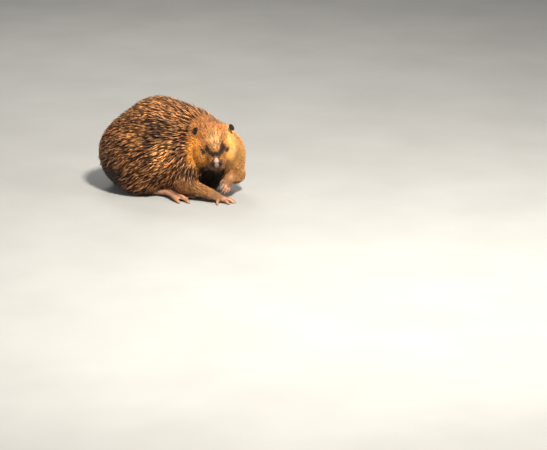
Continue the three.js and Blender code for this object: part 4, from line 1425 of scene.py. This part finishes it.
sets = []
p, uv = scatter(bodyT, 6.6)
g = thin(p)
n = len(p)
print("under tufts", n)
# painted shade: the under tufts, deep in the coat, at a fifth of the coat's tone
sets.append(grow(p, uv, 3, 2, 0.8 * lognorm(n, 0.14), 1.2 + 2.0 * g, 0.45 + 0.65 * g,
                 (-0.1, 0.42, 0.62), even(lognorm(n, 0.3) * 0.2, p), 0.3, 0.5, 0.0))
p, uv = scatter(bodyT, 6.6)
g = thin(p)
n = len(p)
print("top tufts", n)
w = R.random(n)
# dark and bright tufts at random: partly the coat's own tone, partly painted shade in the gaps between locks and
# painted highlights on the locks
lt = lognorm(n, 0.24) * np.clip(np.exp(1.25 * np.sin(w * 3.1416 - 1.5708)) * 0.76, 0.27, 1.8).astype(F)
up = (np.maximum(0, R.normal(0.0, 0.16, n)) * (1 - 0.6 * plush_at(p))).astype(F)
sets.append(grow(p, uv, 4, 3, 1.0 * lognorm(n, 0.18), 0.6 + 1.0 * g, 0.32 + 0.5 * g,
                 (-0.1, 0.52, 0.88 + 0.5 * up, 0.98 + 1.6 * up), even(lt, p), 0.22, 0.08, 0.5))
pieces_of("coat_body", sets, along_body)
lap("body coat")

sets = []
for weight, cell in ((headT, 3.05), (faceT, 2.3)):
    p, uv = scatter(weight, cell)
    n = len(p)
    print("head tufts", n)
    g = np.clip(lay(p)[1] / 24, 0.2, 1.2).astype(F)
    lt = lognorm(n, 0.22) * np.where(R.random(n) < 0.26, 0.5, 1.2).astype(F)
    sets.append(grow(p, uv, 4, 2, lognorm(n, 0.14), 0.4 + 1.1 * g, 0.22 + 0.4 * g, (-0.15, 0.55, 0.84),
                     even(lt, p), 0.4, 0.2, 0.3))
pieces_of("coat_head", sets, lambda v: v[:, 2])
sets = []
p, uv = scatter(limbT, 3.7)
n = len(p)
print("limb tufts", n)
g = np.clip(lay(p)[1] / 24, 0.15, 1.2).astype(F)
sets.append(grow(p, uv, 4, 2, 1.0 * lognorm(n, 0.14), 0.5 + 1.4 * g, 0.28 + 0.46 * g, (-0.15, 0.55, 0.86),
                 lognorm(n, 0.34) * 1.1, 0.34, 0.2, 0.35))


def paw_base(x):
    return smin(coat_base(x), feet_field(x), 6)


p, uv = scatter(pawT, 2.1)
n = len(p)
print("paw tufts", n)
if n:
    sets.append(grow(p, uv, 3, 2, lognorm(n, 0.18), np.full(n, 0.7, F), np.full(n, 0.27, F), (-0.2, 0.5, 0.85),
                     lognorm(n, 0.2), 0.6, 0.4, 0.3, field=paw_base, deep=(1.7, 7.0), dye=srgb(176, 130, 88)))
pieces_of("coat_limbs", sets, lambda v: v[:, 1])
lap("head and limb coat")



# ------------------------------------------------------------------ eyes, nose, ears
def local_mesh(name, f, centre, axes, half, cell, mat, slot, paint, replaces=None):
    """A small piece meshed finely in a turned box of its own."""
    M = np.array(axes)
    c = np.asarray(centre, float)

    def g(p):
        return f(((p @ M.astype(F)) + c.astype(F)).astype(F), p)

    ax = [axis(-h, (h, cell)) for h in half]
    V, Q = surface(g, *ax)
    Wd = V.astype(float) @ M + c
    o = make(name, Wd, Q, mat, slot, colors=paint(Wd.astype(F), V))
    if replaces:
        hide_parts(*replaces)
    return o


def uv_ball(name, centre, axes, r, bulge, mat, slot, replaces):
    """An eyeball with the cornea proud of it."""
    nu, nv = 48, 28
    vs = [(0, 0, 1.0)]
    for j in range(1, nv):
        th = math.pi * j / nv
        for i in range(nu):
            ph = 2 * math.pi * i / nu
            vs.append((math.sin(th) * math.cos(ph), math.sin(th) * math.sin(ph), math.cos(th)))
    vs.append((0, 0, -1.0))
    D = np.array(vs)
    ang = np.arccos(np.clip(D[:, 2], -1, 1))
    rad = r + bulge * step(0.62, 0.2, ang)
    V = (D * rad[:, None]) @ np.array(axes) + centre
    tris, quads = [], []
    for i in range(nu):
        tris.append((0, 1 + i, 1 + (i + 1) % nu))
        tris.append((len(vs) - 1, 1 + (nv - 2) * nu + (i + 1) % nu, 1 + (nv - 2) * nu + i))
    for j in range(nv - 2):
        for i in range(nu):
            a, b = 1 + j * nu + i, 1 + j * nu + (i + 1) % nu
            quads.append((a, a + nu, b + nu, b))
    o = make(name, V, [np.array(quads), np.array(tris)], mat, slot)
    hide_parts(replaces)
    return o


for s, tag in ((-1, "r"), (1, "l")):
    sl, acr, out = eye_axes(s)
    e = EYES[s]
    uv_ball("eyeball_" + tag, e, (sl, acr, out), EYE_R - 0.15, 0.35, MATS["eye"], "eye", "eye_" + tag)
    gape = 0.7 if s < 0 else 0.6

    def lid(p, q, e=e, gape=gape):
        r = np.sqrt((q * q).sum(1))
        shell = np.abs(r - F(EYE_R + 0.75)) - F(0.75)
        shell = smax(shell, F(1.6) - q[:, 2], 1.0)
        u = q[:, 0] / F(7.2)
        mid = np.abs(q[:, 1] + F(0.36) * (1 - u * u))
        g = np.maximum(mid - F(gape) * np.maximum(1 - u * u, 0), np.abs(q[:, 0]) - F(7.2))
        # the rims of the lids are rounded and a little thicker
        rim = np.sqrt(np.maximum(r - F(EYE_R + 0.8), 0) ** 2 + (mid - F(gape + 0.8)) ** 2) - F(0.8)
        rim = np.maximum(rim, np.abs(q[:, 0]) - F(6.8))
        d = smin(shell, np.maximum(rim, F(1.0) - q[:, 2]), 0.8)
        folds = F(0.14) * np.sin(mid * F(3.4) + np.sin(q[:, 0] * F(0.9)) * F(0.8))
        return smax(d, -g, 0.5) + folds.astype(F)

    def lid_paint(p, q):
        # painted shade along the slit between the lids
        w = step(4.6, 1.6, np.abs(q[:, 1]))
        c = np.tile(srgb(88, 56, 38), (len(p), 1))
        return over(c, srgb(20, 13, 12), w)

    local_mesh("eyelids_" + tag, lid, e, (sl, acr, out), (10.2, 10.2, 10.2), 0.42, MATS["skin"], "coat", lid_paint)


def nose_paint(p, q):
    c = np.tile(srgb(46, 34, 30), (len(p), 1))
    m = np.stack([q[:, 0], np.abs(q[:, 1]), q[:, 2]], 1)
    c = over(c, srgb(168, 144, 134), blob(q, (9, 0, -4), (10, 10.5, 16)) * 0.9)
    # painted highlight on the top of the pad
    c = over(c, srgb(212, 166, 140), step(5, 10, q[:, 2]) * step(11, 6, m[:, 1]) * 0.95)
    # painted shade on the underside of the pad
    c = over(c, srgb(40, 28, 26), step(-14, -21, q[:, 2]) * 0.8)
    # painted shade inside the nostrils
    hole = np.minimum(cone(*NOSTRIL[0])(m), cone(*NOSTRIL[1])(m))
    return over(c, srgb(10, 7, 7), step(2.4, 0.8, hole))


local_mesh("nose_pad", nose_f, *NOSE_BOX, (21, 21, 26), 0.62, MATS["nose"], "nose", nose_paint, ["nose"])

EARS = {}
for s, tag in ((-1, "r"), (1, "l")):
    out = unit(H.turn((-0.7, s * 0.66, -0.2)))
    fc = H.turn((0.5, s * 0.35, 0.8))
    face = unit(fc - out * (fc @ out))
    wide = np.cross(face, out)
    at = HEAD.world((EAR_LOCAL[0], s * EAR_LOCAL[1], EAR_LOCAL[2])) + out * 1.5 + H.turn((0, s * 2.0, 3.5))
    EARS[s] = (at, out, face, wide)

    def ear_f(p, q):
        """A round cup: wide, up (out of the head), face."""
        w, u, f = q[:, 0], q[:, 1], q[:, 2]

        def el(c, r):
            d = (q - np.array(c, F)) / np.array(r, F)
            k0 = np.sqrt((d * d).sum(1))
            d = d / np.array(r, F)
            return k0 * (k0 - 1) / (np.sqrt((d * d).sum(1)) + F(1e-6))

        d = el((0, 0, 0), (12.4, 9.8, 4.8))
        d = smax(d, -el((0, 0.5, 4.0), (10.0, 7.6, 4.4)), 1.3)
        notch = cone((0, -3, 2), (1.5, -9, 4), 1.6, 3.4)(q)
        fold = cone((-4.5, -4, 1.0), (-3.0, 5, 0.6), 1.3, 0.8)(q)
        d = smin(d, fold, 2.0)
        return smax(d, -notch, 1.5)

    def ear_paint(p, q):
        c = np.tile(srgb(30, 20, 16), (len(p), 1))
        # painted shade inside the cup
        return over(c, srgb(20, 13, 12), step(2.5, 0.2, np.abs(q[:, 2] - 0.8)) * step(10, 7, np.sqrt(q[:, 0] ** 2 + q[:, 1] ** 2)))

    local_mesh("ear_cup_" + tag, ear_f, at, (wide, out, face), (14, 14.5, 7.5), 0.62, MATS["ear"], "ear", ear_paint, ["ear_" + tag])
lap("eyes, nose, ears")


# ------------------------------------------------------------------ claws
def claw_mesh(name, claws, nodes):
    """Curved horn claws, one object. Each: last joint, the one before it, length, radius, floor."""
    vs, qs, ts, cs, at = [], [], [], [], 0
    ns, nr = 14, 9
    for last, prev, length, r in claws:
        last, prev = vec(*last), vec(*prev)
        d = unit(last - prev)
        tip = last + d * length
        tip[2] = max(1.1, tip[2] - 1.5)
        mid = last + d * length / 2
        mid[2] = max(mid[2] + 0.9, r + 0.4)
        P = spline([last - 3 * d, mid, tip], nr)
        for k in range(nr):
            t = k / nr
            tg = unit(P[k + 1] - P[k])
            sd = unit(np.cross(tg, (0, 0, 1)))
            upv = np.cross(sd, tg)
            rr = r * (1.02 - 0.8 * t**1.25)
            for i in range(ns):
                a = 2 * math.pi * i / ns
                ca, sa = math.cos(a), math.sin(a)
                # taller than wide, keeled on top, hollowed a little below
                h = 1.15 if sa > 0 else 0.8
                q = P[k] + sd * (ca * rr * 0.86) + upv * (sa * rr * h)
                q[2] = max(q[2], 0.5)
                vs.append(q)
                base = srgb(150, 122, 100) * (1 - t) + srgb(96, 74, 60) * t
                pale = srgb(214, 190, 160)
                # painted light: each claw paler on its upper side than below
                cs.append(base * 0.55 + pale * 0.45 * (0.4 + 0.6 * max(0, sa)))
        vs.append(P[-1])
        cs.append(srgb(120, 98, 80))
        for k in range(nr - 1):
            for i in range(ns):
                a, b = at + k * ns + i, at + k * ns + (i + 1) % ns
                qs.append((a, b, b + ns, a + ns))
        for i in range(ns):
            ts.append((at + (nr - 1) * ns + i, at + (nr - 1) * ns + (i + 1) % ns, at + nr * ns))
        ts += [(at, at + i + 1, at + i) for i in range(1, ns - 1)]
        at += nr * ns + 1
    o = make(name, np.array(vs), [np.array(qs), np.array(ts)], MATS["claw"], "claw", colors=np.array(cs))
    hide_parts(*nodes)


for tag, toes, lens, r, kind in (
    ("hindclaws_r", HIND_R, (10, 12, 13, 13, 11), 3.2, "hindclaw_r_"),
    ("hindclaws_l", HIND_L, (10, 12, 13, 13, 11), 3.2, "hindclaw_l_"),
    ("foreclaws_r", FORE_R, (9, 12, 13, 12, 11), 2.6, "foreclaw_r_"),
    ("foreclaws_l", FORE_L, (8, 10, 11, 10, 9), 2.6, "foreclaw_l_"),
):
    claw_mesh(tag, [(t[-1], t[-2], L, r) for t, L in zip(toes, lens)], [kind + str(i + 1) for i in range(5)])


# ------------------------------------------------------------------ whiskers
def whiskers():
    vs, qs, ts, cs, at = [], [], [], [], 0
    for s in (-1, 1):
        for i in range(16):
            row, col = divmod(i, 4)
            a = HEAD.world((76 - 4.6 * col + R.normal(0, 0.6), s * (19 + 2.2 * col), -18 - 3.6 * row + R.normal(0, 0.5)))
            d = unit(H.turn((0.15 - 0.28 * col, s * (0.95 - 0.08 * row), -0.12 - 0.17 * row)) + R.normal(0, 0.06, 3))
            L = (30 + 6.5 * col) * R.uniform(0.8, 1.15)
            sag = unit(d + H.turn((-0.55, 0, -0.35)))
            P = spline([a - d * 3, a + d * L * 0.35, a + d * L * 0.62 + sag * L * 0.06, a + d * L * 0.78 + sag * L * 0.2], 7)
            rr = R.uniform(0.26, 0.34)
            for k in range(7):
                tg = unit(P[k + 1] - P[k])
                sd = unit(np.cross(tg, (0.3, 0.2, 1)))
                up2 = np.cross(sd, tg)
                for j in range(4):
                    an = math.pi / 2 * j
                    vs.append(P[k] + (sd * math.cos(an) + up2 * math.sin(an)) * rr * (1 - k / 7.6))
                    cs.append(srgb(60, 40, 30) * (1 - k / 7) + srgb(176, 140, 108) * (k / 7))
            vs.append(P[7])
            cs.append(srgb(176, 140, 108))
            for k in range(6):
                for j in range(4):
                    p0, p1 = at + 4 * k + j, at + 4 * k + (j + 1) % 4
                    qs.append((p0, p1, p1 + 4, p0 + 4))
            for j in range(4):
                ts.append((at + 24 + j, at + 24 + (j + 1) % 4, at + 28))
            qs.append((at, at + 3, at + 2, at + 1))
            at += 29
    make("whiskers", np.array(vs), [np.array(qs), np.array(ts)], MATS["claw"], "coat", colors=np.array(cs))


whiskers()


# ------------------------------------------------------------------ the tail's blade
def blade():
    """An oval paddle of small scales in rows, flat on the floor, thickest along its middle."""
    x0, y0 = TAIL_ROOT[0], TAIL_ROOT[1] - 16
    cell = 1.25
    nl, nw = int(278 / cell), int(118 / cell)
    t = np.linspace(0, 1, nl + 1)
    end = np.sqrt(np.maximum(0.0004, 1 - np.maximum(0, (t - 0.62) / 0.38) ** 2))
    w = (24 + (TAIL_WIDTH / 2 - 24) * np.sin(math.pi / 2 * np.minimum(1, t / 0.42))) * end
    hgt = (10.5 - 3.4 * t) * np.sqrt(end)
    zc = 9.5 - 2.6 * t
    u = np.linspace(-1, 1, nw + 1)
    uu = np.sin(u * math.pi / 2)  # closer together at the edges
    T, U = np.meshgrid(t, uu, indexing="ij")
    X = x0 + 4 * T + U * w[:, None]
    Y = y0 + 278 * T
    rise = np.sqrt(np.maximum(0, 1 - U * U)) ** 0.8 * hgt[:, None]
    # scales: rows of six-sided plates, each a little higher at its rear edge
    a, b = 5.6, 7.4
    wx, wy = (X - x0) / a, (Y - y0) / b * 2
    row = np.floor(wy)
    best = np.full(X.shape, 9.0)
    second = np.full(X.shape, 9.0)
    hid = np.zeros(X.shape)
    for dr in (-1, 0, 1, 2):
        rr = row + dr
        for dc in (-1, 0, 1):
            sh = 0.5 * (np.mod(rr, 2))
            cx = np.floor(wx - sh + 0.5) + dc + sh
            jig = np.sin(cx * 12.9898 + rr * 78.233) * 43758.5453
            jx = (jig - np.floor(jig) - 0.5) * 0.22
            d = np.sqrt(((wx - cx - jx)) ** 2 + ((wy - rr - 0.5) / 1.32) ** 2)
            up1 = d < best
            second = np.where(up1, best, np.minimum(second, d))
            hid = np.where(up1, jig - np.floor(jig), hid)
            best = np.minimum(best, d)
    edge = np.clip((second - best) / 0.26, 0, 1)
    edge = edge * edge * (3 - 2 * edge)
    relief = (0.75 * edge + 0.2 * (hid - 0.5)) * np.clip((1 - np.abs(U)) / 0.05, 0, 1) * np.clip(T / 0.04, 0, 1) * np.clip((1 - T) / 0.03, 0, 1)
    wave = 0.9 * np.sin(X * 0.05 + 1) * np.sin(Y * 0.037) * np.clip((1 - np.abs(U)) / 0.3, 0, 1)
    top = zc[:, None] + rise + relief - 0.35 + wave
    low = zc[:, None] - rise * 1.0 - relief * 0.4
    keep = np.abs(u) < 2
    top = np.maximum(top, 0.5)
    low = np.maximum(low, 0.06)
    n1, n2 = X.shape
    Vt = np.stack([X, Y, top], -1).reshape(-1, 3)
    Vl = np.stack([X, Y, np.minimum(low, top - 0.3)], -1).reshape(-1, 3)
    # shared rim: the edge points of both sides are the same
    idx = np.arange(n1 * n2).reshape(n1, n2)
    rim = np.zeros((n1, n2), bool)
    rim[0], rim[-1], rim[:, 0], rim[:, -1] = True, True, True, True
    mid = (Vt + Vl) / 2
    Vt[rim.ravel()] = mid[rim.ravel()]
    lid = np.full(n1 * n2, -1)
    inner = np.flatnonzero(~rim.ravel())
    lid[inner] = n1 * n2 + np.arange(len(inner))
    lid[rim.ravel()] = np.flatnonzero(rim.ravel())
    V = np.vstack([Vt, Vl[inner]])
    q = np.stack([idx[:-1, :-1], idx[1:, :-1], idx[1:, 1:], idx[:-1, 1:]], -1).reshape(-1, 4)
    ql = lid[q[:, ::-1]]
    # facing up: x across, y along
    n = np.cross(V[q[:, 1]] - V[q[:, 0]], V[q[:, 3]] - V[q[:, 0]])
    if n[:, 2].mean() < 0:
        q, ql = q[:, ::-1], ql[:, ::-1]
    light = (0.62 + 0.38 * edge) * (0.9 + 0.24 * (hid - 0.5))
    c = srgb(74, 62, 56)[None, None] * light[..., None] * (1 + 0.12 * np.sin(X * 0.07)[..., None] * np.cos(Y * 0.05)[..., None])
    c = c.reshape(-1, 3)
    # painted shade: the underside a tenth darker than the top
    c = np.vstack([c, c[inner] * 0.9])
    o = make("tail_blade", V, np.vstack([q, ql]), MATS["tail"], "tail_scale", colors=c)
    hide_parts("tail")


blade()
lap("claws, whiskers, tail")
